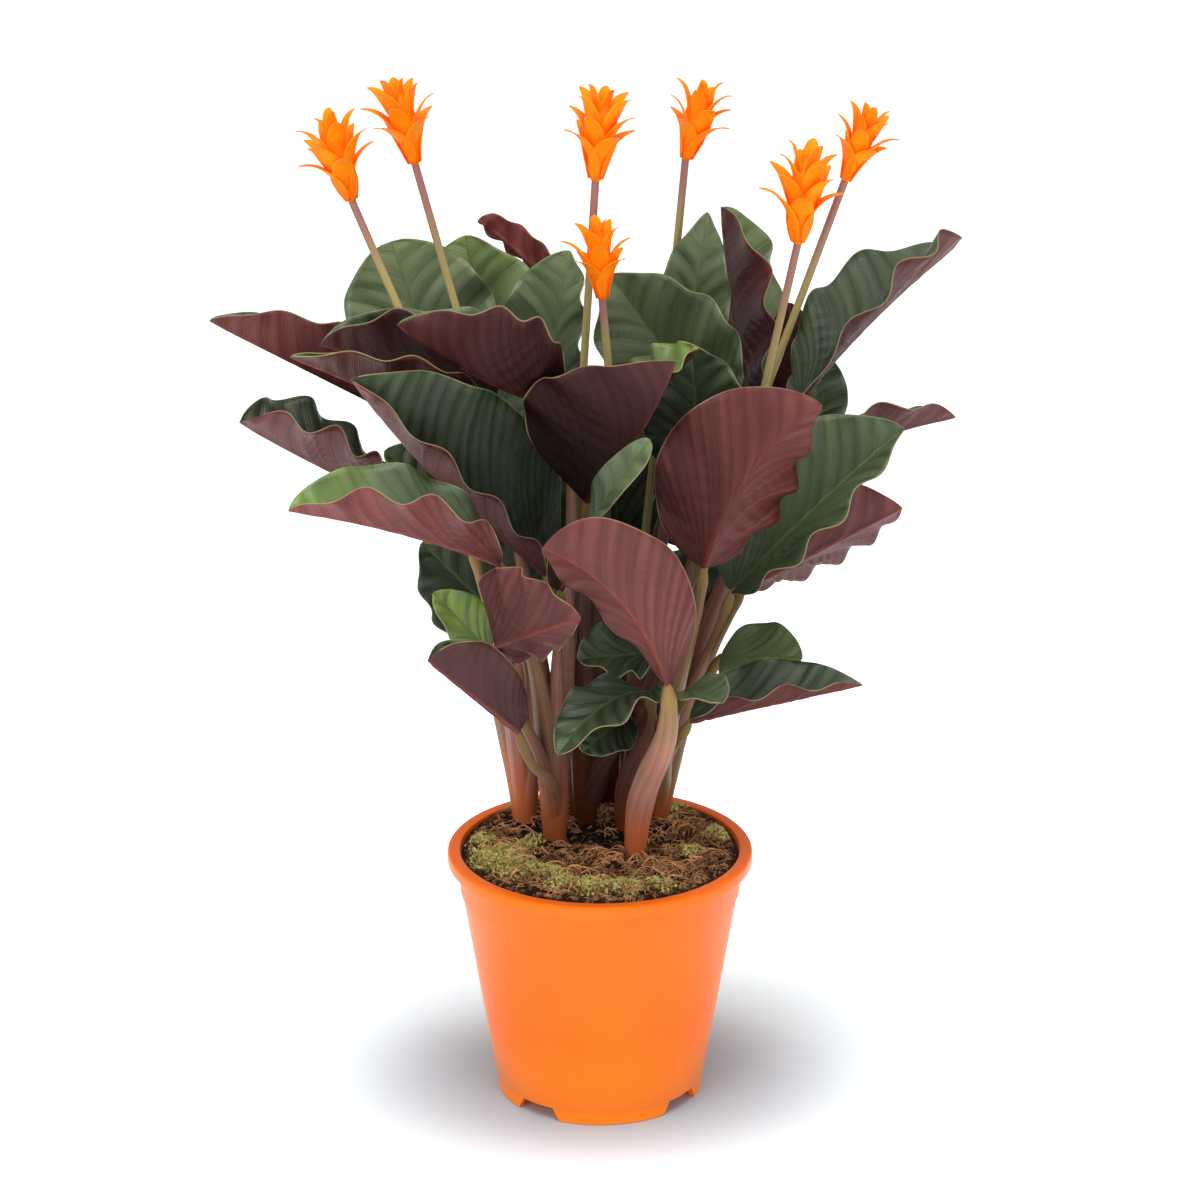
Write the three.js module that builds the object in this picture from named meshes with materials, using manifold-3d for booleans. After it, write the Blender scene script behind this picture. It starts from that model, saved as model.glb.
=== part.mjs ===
// Eternal flame calathea (Calathea crocata) growing in its orange nursery pot.
// Millimetres, +Z up. The origin is the middle of the pot's foot, on the surface it stands on.
// The front is -Y. Each leaf blade, each shoot, each flower head, the soil and the pot is a mesh.

import * as THREE from 'three';
import Module from 'manifold-3d';
import { mergeVertices } from 'three/addons/utils/BufferGeometryUtils.js';

const wasm = await Module();
wasm.setup();

// ---------------------------------------------------------------- driving dimensions

const gap = 0.3; // clearance between pieces that touch

const pot = {
  height: 118.5,
  rimRadius: 70,
  rimDepth: 6, // height of the overhanging lip
  rimRounding: 1.5,
  wall: 1.6,
  mouthRadius: 64.2,
  topRadius: 65.2, // outside of the wall under the lip
  shoulderHeight: 97.5, // a slight step runs round here
  shoulderStep: 0.8,
  footRadius: 48.6,
  footInset: 0.9,
  footWall: 3, // width of the ring it stands on
  footHeight: 6.4,
  floor: 1.8,
  notchHeight: 6.2,
  notchWidth: 25, // at the bottom edge
  notchTopWidth: 17,
  notchDegrees: [-127.5, -37.5, 52.5, 142.5],
  drainRadius: 4,
  drainRing: 34,
  segments: 36,
};

const soil = {
  edgeHeight: 114,
  crownHeight: 118,
  bump: 0.9, // height of the lumps in its surface
  segments: 18,
};

const crown = {
  radius: 8.5, // the stub that a shoot's leaf stalks grow from
  bottom: 96,
  shoulder: 113,
  top: 118,
  sides: 10,
};

const blade = {
  thickness: 0.8,
  rows: 11,
  smallRows: 8,
  smallHalf: 30, // blades narrower than this take fewer rows
  columns: 2, // on each side of the midrib
  shape: [0.62, 0.72], // powers that round the base and draw out the tip
  waveLag: 0.16, // how far the waves slant towards the tip
  waveOffset: 1.3, // left and right edges wave out of step
};

const stalk = {
  foot: 104, // height in the crown where stalks begin
  root: 119, // they run straight up to here, clear of the soil
  spread: 2.8, // how far from the crown's middle they begin
  topRadius: 2,
  endRadius: 1.3,
  sheath: 5.5, // usual radius of the clasping lower end
  clasp: [0.75, 1, 0.5], // the sheath's share of the stalk, how late it tapers, how much it swells
  swellLength: 0.6, // share of the stalk that swells
  sheathFall: 0.8, // power of the sheath's taper
  riseShare: 0.38, // how far up, as a share of its length, it starts to lean
  turnShare: 0.12, // length over which it turns into the midrib, as a share
  longestTurn: 16,
  dropShare: 0.2, // how far under the blade that turn begins, as a share
  sides: 5,
  station: 42, // length between its rings
  seat: 0.4, // from the stalk's end to the blade's point
};

const flower = {
  stemRadius: 2.1,
  stemTopRadius: 1.7,
  stemSides: 4,
  rise: 70, // length of the stem's two soft bends
  headBottom: 2.6,
  bractThickness: 0.8,
  bractCup: 1.6, // how far its edges bend in towards the axis
  coreSides: 6,
};

// ---------------------------------------------------------------- where everything grows

// Middle of each crown in the soil.
const shoots = {
  front: [16, -4],
  left: [-34, 34],
  mid: [-20, 12],
  c: [-8, 32],
  cr: [11, 26],
  right: [26, 37],
  back: [4, 50],
};

// One entry a blade: the ends of its midrib, the width of its left and right half, the way
// its upper side faces, how far each half folds up, and its waves as count, height and start.
// The optional tipFace turns the tip, bow bends the midrib, and swing bends the leaf stalk.
const leaves = [
  { name: 'left_far', shoot: 'left', base: [-71, 55, 298], tip: [-170, -4, 368], half: [30, 22],
    face: [0.1, 0, 1], fold: [62, 58], wave: [4.5, 3, 0.5] },
  { name: 'left_curl', shoot: 'mid', base: [-46, -12, 311], tip: [-130, -64, 368], half: [28, 15],
    face: [-0.1, 0, 1], fold: [60, 80], wave: [4, 2.5, 2], tipFace: [-0.3, -0.5, 0.8], bow: [0, 0, 2] },
  { name: 'left_dark', shoot: 'left', base: [-48, 20, 322], tip: [-122, -8, 358], half: [31, 27],
    face: [0, 0.1, 1], fold: [60, 85], wave: [3.5, 4, 1], bow: [0, 0, 3], swing: [0, 10, 0] },
  { name: 'left_mid', shoot: 'mid', base: [-17, -30, 337], tip: [-86, -45, 377], half: [42, 30],
    face: [0, 0, 1], fold: [58, 60], wave: [4, 3.5, 0], bow: [0, 0, -5], swing: [-4, 0, 0] },
  { name: 'back_left', shoot: 'left', base: [-69, 68, 302], tip: [-95, 74, 385], half: [34, 37],
    face: [0.1, -1, 0.35], fold: [10, 12], wave: [4, 4, 0], bow: [0, -4, 0], shape: [0.62, 0.55] },
  { name: 'back_left_2', shoot: 'back', base: [-47, 84, 299], tip: [-62, 90, 384], half: [40, 40],
    face: [-0.2, -1, 0.3], fold: [15, 20], wave: [4, 5, 1], bow: [0, -4, 0] },
  { name: 'top_maroon', shoot: 'back', base: [-19, 96, 355], tip: [-56, 95, 390], half: [11, 4],
    face: [0.2, 1, 0.2], fold: [8, 30], wave: [4, 2, 0], bow: [1, 0, 1], shape: [0.4, 0.4] },
  { name: 'top_centre', shoot: 'c', base: [-25, 52, 309], tip: [-14, 48, 387], half: [26, 14],
    face: [-0.1, -1, 0.5], fold: [12, 20], wave: [4, 4, 0], bow: [0, -6, 4] },
  { name: 'left_low', shoot: 'left', base: [-79, 30, 270], tip: [-160, 10, 318], half: [36, 30],
    face: [0, -0.15, 1], fold: [45, 30], wave: [4, 4.5, 0], bow: [0, 0, -2], shape: [1.1, 0.55] },
  { name: 'left_bright', shoot: 'mid', base: [-43, -68, 278], tip: [-129, -104, 313], half: [27, 29],
    face: [0, 0, 1], fold: [46, 60], wave: [3.5, 4, 0], bow: [0, 0, 3], swing: [0, 14, 0] },
  { name: 'left_inner', shoot: 'left', base: [-57, -18, 270], tip: [-94, -16, 313], half: [20, 27],
    face: [0, -0.5, 1], fold: [15, 25], wave: [4, 4, 0] },
  { name: 'left_big', shoot: 'mid', base: [-24, -6, 252], tip: [-104, -74, 361], half: [24, 46],
    face: [0.2, -1, 0.2], fold: [112, 4], wave: [4, 3, 0], bow: [-4, 0, -2] },
  { name: 'centre', shoot: 'c', base: [-6, -40, 297], tip: [32, -60, 365], half: [38, 50],
    face: [0.2, 1, 0.3], fold: [108, 4], wave: [4, 3, 0], bow: [3, 0, -2], shape: [0.5, 0.88],
    swing: [9, 14, 0] },
  { name: 'centre_small', shoot: 'mid', base: [-17, -43, 258], tip: [21, -74, 335], half: [10, 14],
    face: [-0.7, 1, 0.1], fold: [25, 20], wave: [2, 1.5, 0], tipFace: [-0.4, -1, 0.5], bow: [-4, -6, 2],
    shape: [0.45, 0.5] },
  { name: 'right_front', shoot: 'right', base: [45, -50, 270], tip: [95, -42, 341], half: [40, 38],
    face: [0.1, 1, 0.1], fold: [50, 10], wave: [4, 3, 0], bow: [-6, 0, 6], shape: [0.66, 0.82] },
  { name: 'right_green', shoot: 'right', base: [59, 5, 240], tip: [135, 8, 316], half: [39, 39],
    face: [-0.1, -1, 0.25], fold: [6, 76], wave: [4, 3, 0], bow: [-1, 0, 1] },
  { name: 'right_tip', shoot: 'right', base: [87, 46, 282], tip: [162, 52, 308], half: [13, 26],
    face: [-0.4, 0, 0.9], fold: [40, 45], wave: [3, 3, 0], bow: [0, 0, 4] },
  { name: 'right_low', shoot: 'right', base: [65, 24, 235], tip: [136, 20, 275], half: [30, 35],
    face: [0, 1, 0.6], fold: [30, 20], wave: [4.5, 2.5, 0] },
  { name: 'right_far', shoot: 'right', base: [90, 28, 324], tip: [165, 112, 373], half: [34, 39],
    face: [-0.6, -0.55, 0.55], fold: [18, 46], wave: [3.5, 4, 0], bow: [-2, 0, 2], shape: [0.85, 0.62],
    swing: [0, 26, 0] },
  { name: 'upper_green', shoot: 'cr', base: [36, 48, 317], tip: [48, 50, 404], half: [20, 17],
    face: [0.1, -1, 0.2], fold: [8, 15], wave: [4, 3, 0], shape: [0.62, 0.85] },
  { name: 'upper_fold', shoot: 'cr', base: [66, 76, 300], tip: [55, 78, 400], half: [32, 28],
    face: [1, 0, 0.1], fold: [34, 54], wave: [3.5, 4, 0], shape: [0.9, 0.62], swing: [-4, 8, 0] },
  { name: 'upper_back', shoot: 'back', base: [93, 100, 283], tip: [88, 103, 349], half: [16, 26],
    face: [0.2, 1, 0.2], fold: [10, 10], wave: [4, 4, 0] },
  { name: 'centre_green', shoot: 'cr', base: [53, 37, 309], tip: [4, 35, 379], half: [33, 33],
    face: [0.1, -1, 0.3], fold: [20, 25], wave: [4, 4, 0] },
  { name: 'centre_green_2', shoot: 'cr', base: [45, 10, 291], tip: [40, 8, 354], half: [25, 25],
    face: [0, -1, 0.2], fold: [10, 10], wave: [4, 4, 0] },
  { name: 'centre_tip', shoot: 'c', base: [9, 2, 318], tip: [43, -10, 357], half: [20, 20],
    face: [-0.5, -0.2, 0.8], fold: [30, 30], wave: [4, 4, 0] },
  { name: 'right_small', shoot: 'back', base: [93, 84, 288], tip: [106, 88, 327], half: [16, 16],
    face: [0.2, -1, 0.3], fold: [10, 10], wave: [3, 2, 0] },
  { name: 'front_low', shoot: 'front', base: [29, -76, 226], tip: [-24, -98, 295], half: [31, 12],
    face: [0.1, 1, 0.1], fold: [8, 14], wave: [2.5, 3, 1.2], bow: [6, 0, 7], shape: [0.78, 0.6],
    sheath: 6.4, clasp: [1, 3, 0] },
  { name: 'front_left', shoot: 'mid', base: [-44, -74, 243], tip: [-8, -114, 270], half: [14, 32],
    face: [0.1, 1, -0.1], fold: [25, 15], wave: [4, 3, 0], shape: [0.3, 0.9], swing: [0, 14, 0],
    sheath: 3.2 },
  { name: 'young_left', shoot: 'mid', base: [-48, -66, 237], tip: [-71, -74, 267], half: [9, 13],
    face: [0.3, -1, 0.5], fold: [15, 10], wave: [2, 1.5, 0], swing: [0, 12, 0], sheath: 3 },
  { name: 'low_left', shoot: 'mid', base: [-35, -84, 207], tip: [-72, -112, 250], half: [22, 18],
    face: [0.6, 0.3, 0.8], fold: [80, 70], wave: [2, 2, 0], shape: [0.5, 0.35], sheath: 3.4 },
  { name: 'left_under', shoot: 'left', base: [-36, 15, 214], tip: [-80, 10, 262], half: [23, 33],
    face: [0.1, -1, 0.5], fold: [10, 10], wave: [4, 4, 0] },
  { name: 'low_centre', shoot: 'cr', base: [21, -44, 210], tip: [-18, -95, 201], half: [23, 15],
    face: [-0.3, -0.6, 0.8], fold: [25, 15], wave: [3, 3, 0], bow: [0, 0, 8] },
  { name: 'low_centre_2', shoot: 'c', base: [23, -12, 217], tip: [-10, -28, 220], half: [17, 17],
    face: [0, -0.5, 0.9], fold: [15, 15], wave: [3, 2.5, 0] },
  { name: 'low_back', shoot: 'c', base: [12, -2, 184], tip: [-8, -28, 176], half: [14, 14],
    face: [0, -0.7, 0.6], fold: [10, 10], wave: [2, 1.5, 0] },
  { name: 'low_mid', shoot: 'cr', base: [38, -52, 214], tip: [53, -80, 219], half: [13, 13],
    face: [0, -0.5, 0.9], fold: [25, 25], wave: [2, 1, 0] },
  { name: 'low_oval', shoot: 'right', base: [55, 12, 207], tip: [91, -4, 212], half: [18, 27],
    face: [0, -0.6, 0.8], fold: [10, 10], wave: [2, 2, 0] },
  { name: 'low_right', shoot: 'right', base: [40, -32, 192], tip: [116, -34, 210], half: [21, 9],
    face: [0, -0.3, 1], fold: [40, 75], wave: [3, 3, 0], shape: [0.62, 0.85] },
  { name: 'rear_high_left', shoot: 'back', base: [-50, 106, 306], tip: [-98, 111, 372], half: [31, 31],
    face: [0.3, -1, 0.3], fold: [12, 12], wave: [3, 4, 0], swing: [0, -14, 0], isRear: true },
  { name: 'rear_high_right', shoot: 'back', base: [42, 109, 312], tip: [58, 114, 374], half: [25, 25],
    face: [-0.3, -1, 0.3], fold: [12, 12], wave: [3, 4, 0], swing: [0, -14, 0], isRear: true },
  { name: 'rear_centre', shoot: 'back', base: [8, 94, 226], tip: [8, 98, 326], half: [20, 20],
    face: [0, -1, 0.3], fold: [20, 20], wave: [3, 4, 0], isRear: true },
  { name: 'rear_mid_left', shoot: 'back', base: [-6, 102, 230], tip: [-74, 111, 300], half: [22, 30],
    face: [0.2, -0.8, 0.6], fold: [20, 20], wave: [3, 4, 0], isRear: true },
  { name: 'rear_mid_right', shoot: 'back', base: [24, 98, 238], tip: [80, 112, 284], half: [33, 33],
    face: [-0.2, -0.8, 0.6], fold: [20, 20], wave: [3, 4, 0], isRear: true },
  { name: 'rear_low_left', shoot: 'back', base: [-16, 94, 196], tip: [-66, 108, 230], half: [29, 29],
    face: [0.2, -0.6, 0.8], fold: [20, 20], wave: [3, 4, 0], isRear: true },
  { name: 'rear_low_right', shoot: 'back', base: [24, 94, 192], tip: [62, 112, 218], half: [26, 26],
    face: [-0.2, -0.6, 0.8], fold: [20, 20], wave: [3, 4, 0], isRear: true },
];

// One entry a flower: a point that its stem passes, the stem's top, a point up the head's axis,
// and the head's turn in degrees and size.
const blooms = [
  { shoot: 'left', via: [-88, 21, 365], top: [-109, 30, 413], crown: [-115, 30, 433], turn: 10, size: 1 },
  { shoot: 'c', via: [-64, 45, 359], top: [-82, 50, 425], crown: [-87, 50, 446], turn: 40, size: 0.98 },
  { shoot: 'c', via: [-7, 14, 346], top: [-2, 12, 426], crown: [0, 12, 447], turn: 25, size: 1.02 },
  { shoot: 'cr', via: [34, 60, 379], top: [38, 55, 426], crown: [43, 55, 445], turn: 55, size: 0.9 },
  { shoot: 'cr', via: [73, 22, 329], top: [86, 8, 399], crown: [88, 8, 421], turn: 5, size: 1.08 },
  { shoot: 'right', via: [85, 46, 351], top: [107, 25, 423], crown: [114, 25, 441], turn: 30, size: 0.86 },
  { shoot: 'c', via: [3, -3, 355], top: [1, -4, 377], crown: [0, -4, 394], turn: 48, size: 0.9 },
];

// ---------------------------------------------------------------- materials

const potPlastic = new THREE.MeshStandardMaterial({ color: 0xfa7a24, roughness: 0.42 });
const soilFibre = new THREE.MeshStandardMaterial({ color: 0x4d3724, roughness: 1 });
const stalkSkin = new THREE.MeshStandardMaterial({ color: 0x8f5748, roughness: 0.6 });
const leafSkin = new THREE.MeshStandardMaterial({ color: 0x35502f, roughness: 0.45, side: THREE.DoubleSide });
const bractSkin = new THREE.MeshStandardMaterial({ color: 0xff7d0a, roughness: 0.55 });

// ---------------------------------------------------------------- solids

// Shares vertices between faces and drops the flat triangles left at a lathe's axis.
function weld(geometry) {
  geometry.deleteAttribute('normal');
  geometry.deleteAttribute('uv');
  const merged = mergeVertices(geometry, 1e-3);
  const index = merged.index.array;
  const kept = [];
  for (let i = 0; i < index.length; i += 3) {
    const [a, b, c] = [index[i], index[i + 1], index[i + 2]];
    if (a !== b && b !== c && a !== c) kept.push(a, b, c);
  }
  merged.setIndex(kept);
  return merged;
}

function toManifold(geometry) {
  const welded = weld(geometry);
  return new wasm.Manifold(new wasm.Mesh({
    numProp: 3,
    vertProperties: new Float32Array(welded.attributes.position.array),
    triVerts: new Uint32Array(welded.index.array),
  }));
}

function toGeometry(manifold) {
  const mesh = manifold.getMesh();
  const geometry = new THREE.BufferGeometry();
  geometry.setAttribute('position', new THREE.BufferAttribute(mesh.vertProperties, 3));
  geometry.setIndex([...mesh.triVerts]);
  return geometry;
}

function union(geometries) {
  return geometries.map(toManifold).reduce((sum, part) => sum.add(part));
}

// A body of revolution about Z from [radius, height] points that run up its outside.
function turned(points, segments) {
  const profile = points.map(([radius, height]) => new THREE.Vector2(radius, height));
  return new THREE.LatheGeometry(profile, segments).rotateX(Math.PI / 2);
}

function solidFrom(vertices, triangles) {
  const geometry = new THREE.BufferGeometry();
  geometry.setFromPoints(vertices);
  geometry.setIndex(triangles);
  return geometry;
}

// A closed tube through the points, with a radius at each. Its end is cut square to endAlong.
function taperedTube(points, radii, sides, endAlong) {
  const vertices = [];
  const triangles = [];
  const reference = new THREE.Vector3(0.3, 1, 0.1);
  points.forEach((point, i) => {
    const before = points[Math.max(i - 1, 0)];
    const after = points[i + 1];
    const along = after ? after.clone().sub(before).normalize() : endAlong;
    const across = along.clone().cross(reference).normalize();
    const other = along.clone().cross(across);
    for (let k = 0; k < sides; k++) {
      const turn = (2 * Math.PI * k) / sides;
      vertices.push(point.clone()
        .addScaledVector(across, radii[i] * Math.cos(turn))
        .addScaledVector(other, radii[i] * Math.sin(turn)));
    }
  });
  for (let i = 0; i < points.length - 1; i++) {
    for (let k = 0; k < sides; k++) {
      const a = i * sides + k;
      const b = i * sides + ((k + 1) % sides);
      triangles.push(a, b, b + sides, a, b + sides, a + sides);
    }
  }
  const last = (points.length - 1) * sides;
  for (let k = 1; k < sides - 1; k++) {
    triangles.push(0, k + 1, k, last, last + k, last + k + 1);
  }
  return solidFrom(vertices, triangles);
}

// A thin sheet: a surface of points and triangles, thickened by half to each side.
function thickened(points, triangles, thickness) {
  const normals = points.map(() => new THREE.Vector3());
  const edges = new Set();
  for (let i = 0; i < triangles.length; i += 3) {
    const [a, b, c] = triangles.slice(i, i + 3);
    const normal = points[b].clone().sub(points[a]).cross(points[c].clone().sub(points[a]));
    for (const corner of [a, b, c]) normals[corner].add(normal);
    edges.add(`${a} ${b}`);
    edges.add(`${b} ${c}`);
    edges.add(`${c} ${a}`);
  }
  normals.forEach((normal) => normal.normalize());
  const upper = points.map((point, i) => point.clone().addScaledVector(normals[i], thickness / 2));
  const lower = points.map((point, i) => point.clone().addScaledVector(normals[i], -thickness / 2));
  const faces = [...triangles];
  for (let i = 0; i < triangles.length; i += 3) {
    const [a, b, c] = triangles.slice(i, i + 3);
    faces.push(a + points.length, c + points.length, b + points.length);
  }
  for (const edge of edges) {
    const [a, b] = edge.split(' ').map(Number);
    if (edges.has(`${b} ${a}`)) continue;
    faces.push(a, a + points.length, b + points.length, a, b + points.length, b);
  }
  return solidFrom([...upper, ...lower], faces);
}

// ---------------------------------------------------------------- pot

// The wall with its lip, shoulder and raised floor, turned in one piece.
function potBody() {
  const underside = pot.footHeight + 0.2;
  const floorTop = underside + pot.floor;
  const foot = pot.footRadius - pot.footInset;
  const lipBottom = pot.height - pot.rimDepth;
  return turned([
    [0, underside],
    [foot - pot.footWall, underside],
    [foot - pot.footWall, 0],
    [foot, 0],
    [foot, pot.footHeight],
    [pot.footRadius, pot.footHeight + 0.5],
    [pot.topRadius - pot.shoulderStep - 1, pot.shoulderHeight],
    [pot.topRadius - 1, pot.shoulderHeight + 0.8],
    [pot.topRadius, lipBottom],
    [pot.rimRadius, lipBottom],
    [pot.rimRadius, pot.height - pot.rimRounding],
    [pot.rimRadius - pot.rimRounding, pot.height],
    [pot.mouthRadius, pot.height],
    [pot.topRadius - pot.wall, lipBottom],
    [pot.footRadius - pot.wall, floorTop],
    [0, floorTop],
  ], pot.segments);
}

// A notch through the foot ring, seen from outside as an upside-down tray with slanted ends.
function footNotch(degrees) {
  const outline = new THREE.Shape();
  outline.moveTo(-pot.notchWidth / 2, -1);
  outline.lineTo(pot.notchWidth / 2, -1);
  outline.lineTo(pot.notchTopWidth / 2, pot.notchHeight);
  outline.lineTo(-pot.notchTopWidth / 2, pot.notchHeight);
  outline.closePath();
  const depth = 20;
  const cutter = new THREE.ExtrudeGeometry(outline, { depth, bevelEnabled: false });
  cutter.rotateX(Math.PI / 2);
  cutter.translate(0, -(pot.footRadius - depth + 5), 0);
  return cutter.rotateZ(THREE.MathUtils.degToRad(degrees));
}

function drainHole(x, y) {
  return turned([
    [0, 0],
    [pot.drainRadius, 0],
    [pot.drainRadius, 20],
    [0, 20],
  ], 8).translate(x, y, 0);
}

function makePot() {
  const drains = pot.notchDegrees.map((degrees) => {
    const turn = THREE.MathUtils.degToRad(degrees - 45);
    return drainHole(pot.drainRing * Math.sin(turn), -pot.drainRing * Math.cos(turn));
  });
  const cutters = [...pot.notchDegrees.map(footNotch), ...drains, drainHole(0, 0)];
  const solid = cutters.reduce((rest, cutter) => rest.subtract(toManifold(cutter)), toManifold(potBody()));
  return toGeometry(solid);
}

// ---------------------------------------------------------------- soil

// A low mound of coir and peat that fills the pot, with a plain round hole for each crown.
function makeSoil() {
  const underside = pot.footHeight + 0.2 + pot.floor + gap;
  const bottomRadius = pot.footRadius - pot.wall - gap - 0.3;
  const edgeRadius = pot.topRadius - pot.wall - gap - 0.4;
  const mound = turned([
    [0, underside],
    [bottomRadius, underside],
    [edgeRadius, soil.edgeHeight - 1],
    [edgeRadius - 2.5, soil.edgeHeight + 0.5],
    [48, soil.edgeHeight + 2.5],
    [33, soil.crownHeight - 1],
    [16, soil.crownHeight],
    [0, soil.crownHeight],
  ], soil.segments);
  const position = mound.attributes.position;
  for (let i = 0; i < position.count; i++) {
    const [x, y, z] = [position.getX(i), position.getY(i), position.getZ(i)];
    const lump = soil.bump * Math.sin(x * 0.31 + 0.4) * Math.cos(y * 0.27 - 0.9);
    if (z > soil.edgeHeight) position.setZ(i, z + lump);
  }
  let solid = toManifold(mound);
  for (const [x, y] of Object.values(shoots)) {
    const hole = turned([
      [0, crown.bottom - gap],
      [crown.radius + gap, crown.bottom - gap],
      [crown.radius + gap, pot.height + 10],
      [0, pot.height + 10],
    ], crown.sides).translate(x, y, 0);
    solid = solid.subtract(toManifold(hole));
  }
  return toGeometry(solid);
}

// ---------------------------------------------------------------- leaf blades

// The blade's width at t along the midrib, as a share of its widest.
function outlineAt(t, [rise, fall]) {
  const widest = rise / (rise + fall);
  const peak = widest ** rise * (1 - widest) ** fall;
  return (t ** rise * (1 - t) ** fall) / peak;
}

function midribOf(leaf) {
  const base = new THREE.Vector3(...leaf.base);
  const tip = new THREE.Vector3(...leaf.tip);
  const bow = new THREE.Vector3(...(leaf.bow ?? [0, 0, 0]));
  const control = base.clone().add(tip).multiplyScalar(0.5).addScaledVector(bow, 2);
  return new THREE.QuadraticBezierCurve3(base, control, tip);
}

// The point at t along a blade and share s of the way from the midrib to the left (-1)
// or right (1) edge. Each half folds up about the midrib, and its edge is waved.
function bladePoint(leaf, midrib, t, s) {
  const face = new THREE.Vector3(...leaf.face).normalize();
  const tipFace = new THREE.Vector3(...(leaf.tipFace ?? leaf.face)).normalize();
  const along = midrib.getTangent(t);
  const up = face.lerp(tipFace, t);
  up.addScaledVector(along, -up.dot(along)).normalize();
  const right = along.clone().cross(up);
  const side = Math.sign(s);
  const share = Math.abs(s);
  const half = leaf.half[s > 0 ? 1 : 0];
  const fold = THREE.MathUtils.degToRad(leaf.fold[s > 0 ? 1 : 0]);
  const outline = outlineAt(t, leaf.shape ?? blade.shape);
  const [count, height, start] = leaf.wave;
  const phase = 2 * Math.PI * count * (t - blade.waveLag * share) + start + (s > 0 ? 0 : blade.waveOffset);
  const wave = height * share ** 2 * Math.sin(phase) * Math.min(1, 1.2 * outline);
  const reach = half * outline * share;
  return midrib.getPoint(t)
    .addScaledVector(right, side * (reach * Math.cos(fold) - wave * Math.sin(fold)))
    .addScaledVector(up, reach * Math.sin(fold) + wave * Math.cos(fold));
}

function makeBlade(leaf) {
  const midrib = midribOf(leaf);
  const isSmall = Math.max(...leaf.half) < blade.smallHalf || leaf.isRear;
  const rows = isSmall ? blade.smallRows : blade.rows;
  const across = 2 * blade.columns + 1;
  const points = [midrib.getPoint(0)];
  for (let i = 1; i < rows; i++) {
    for (let j = -blade.columns; j <= blade.columns; j++) {
      points.push(bladePoint(leaf, midrib, i / rows, j / blade.columns));
    }
  }
  points.push(midrib.getPoint(1));
  const at = (i, j) => {
    if (i === 0) return 0;
    if (i === rows) return points.length - 1;
    return 1 + (i - 1) * across + j;
  };
  const triangles = [];
  for (let i = 0; i < rows; i++) {
    for (let j = 0; j < across - 1; j++) {
      if (i < rows - 1) triangles.push(at(i, j), at(i + 1, j + 1), at(i + 1, j));
      if (i > 0) triangles.push(at(i, j), at(i, j + 1), at(i + 1, j + 1));
    }
  }
  return thickened(points, triangles, blade.thickness);
}

// ---------------------------------------------------------------- shoots

// The leaf stalk clasps the crown as a thick sheath and thins out towards the blade.
function leafStalk(leaf) {
  const [x, y] = shoots[leaf.shoot];
  const base = new THREE.Vector3(...leaf.base);
  const sheath = leaf.sheath ?? stalk.sheath;
  const [share, hold, swell] = leaf.clasp ?? stalk.clasp;
  const spread = Math.min(stalk.spread, crown.radius - 0.2 - sheath);
  const outward = new THREE.Vector3(base.x - x, base.y - y, 0).normalize().multiplyScalar(spread);
  const root = new THREE.Vector3(x + outward.x, y + outward.y, stalk.root);
  const length = base.distanceTo(root);
  const along = midribOf(leaf).getTangent(0);
  const bend = base.clone()
    .addScaledVector(along, -Math.min(stalk.turnShare * length, stalk.longestTurn))
    .add(new THREE.Vector3(0, 0, -stalk.dropShare * length))
    .add(new THREE.Vector3(...(leaf.swing ?? [0, 0, 0])));
  const rise = root.clone().lerp(base, 0.05).setZ(stalk.root + stalk.riseShare * length);
  const end = base.clone().addScaledVector(along, -stalk.seat);
  const path = new THREE.CubicBezierCurve3(root, rise, bend, end);
  const points = [root.clone().setZ(stalk.foot)];
  const radii = [sheath];
  const stations = THREE.MathUtils.clamp(Math.round(length / stalk.station), 3, 5);
  for (let i = 0; i <= stations; i++) {
    const t = i / stations;
    points.push(path.getPoint(t));
    const left = (1 - Math.min(1, t / share) ** hold) ** stalk.sheathFall;
    const swelling = 1 + swell * Math.sin(Math.PI * Math.min(1, t / stalk.swellLength));
    radii.push(stalk.topRadius + (sheath - stalk.topRadius) * left * swelling);
  }
  radii[radii.length - 1] = stalk.endRadius;
  return taperedTube(points, radii, stalk.sides, along);
}

// A flower stem rises through the leaves in one soft curve and then runs straight to its head.
function flowerStem(bloom) {
  const [x, y] = shoots[bloom.shoot];
  const root = new THREE.Vector3(x, y, stalk.root);
  const via = new THREE.Vector3(...bloom.via);
  const top = new THREE.Vector3(...bloom.top);
  const along = top.clone().sub(via).normalize();
  const rise = root.clone().add(new THREE.Vector3(0, 0, flower.rise));
  const bend = via.clone().addScaledVector(along, -flower.rise);
  const path = new THREE.CubicBezierCurve3(root, rise, bend, via);
  const points = [root.clone().setZ(stalk.foot), ...path.getPoints(5), top];
  const radii = points.map((point, i) => (
    THREE.MathUtils.lerp(flower.stemRadius, flower.stemTopRadius, i / (points.length - 1))
  ));
  return taperedTube(points, radii, flower.stemSides, along);
}

function crownStub([x, y]) {
  return turned([
    [0, crown.bottom],
    [crown.radius, crown.bottom],
    [crown.radius, crown.shoulder],
    [crown.radius * 0.6, crown.top],
    [0, crown.top],
  ], crown.sides).translate(x, y, 0);
}

function makeShoot(name) {
  const pieces = [crownStub(shoots[name])];
  for (const leaf of leaves) {
    if (leaf.shoot === name) pieces.push(leafStalk(leaf));
  }
  for (const bloom of blooms) {
    if (bloom.shoot === name) pieces.push(flowerStem(bloom));
  }
  return toGeometry(union(pieces));
}

// ---------------------------------------------------------------- flower heads

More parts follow.
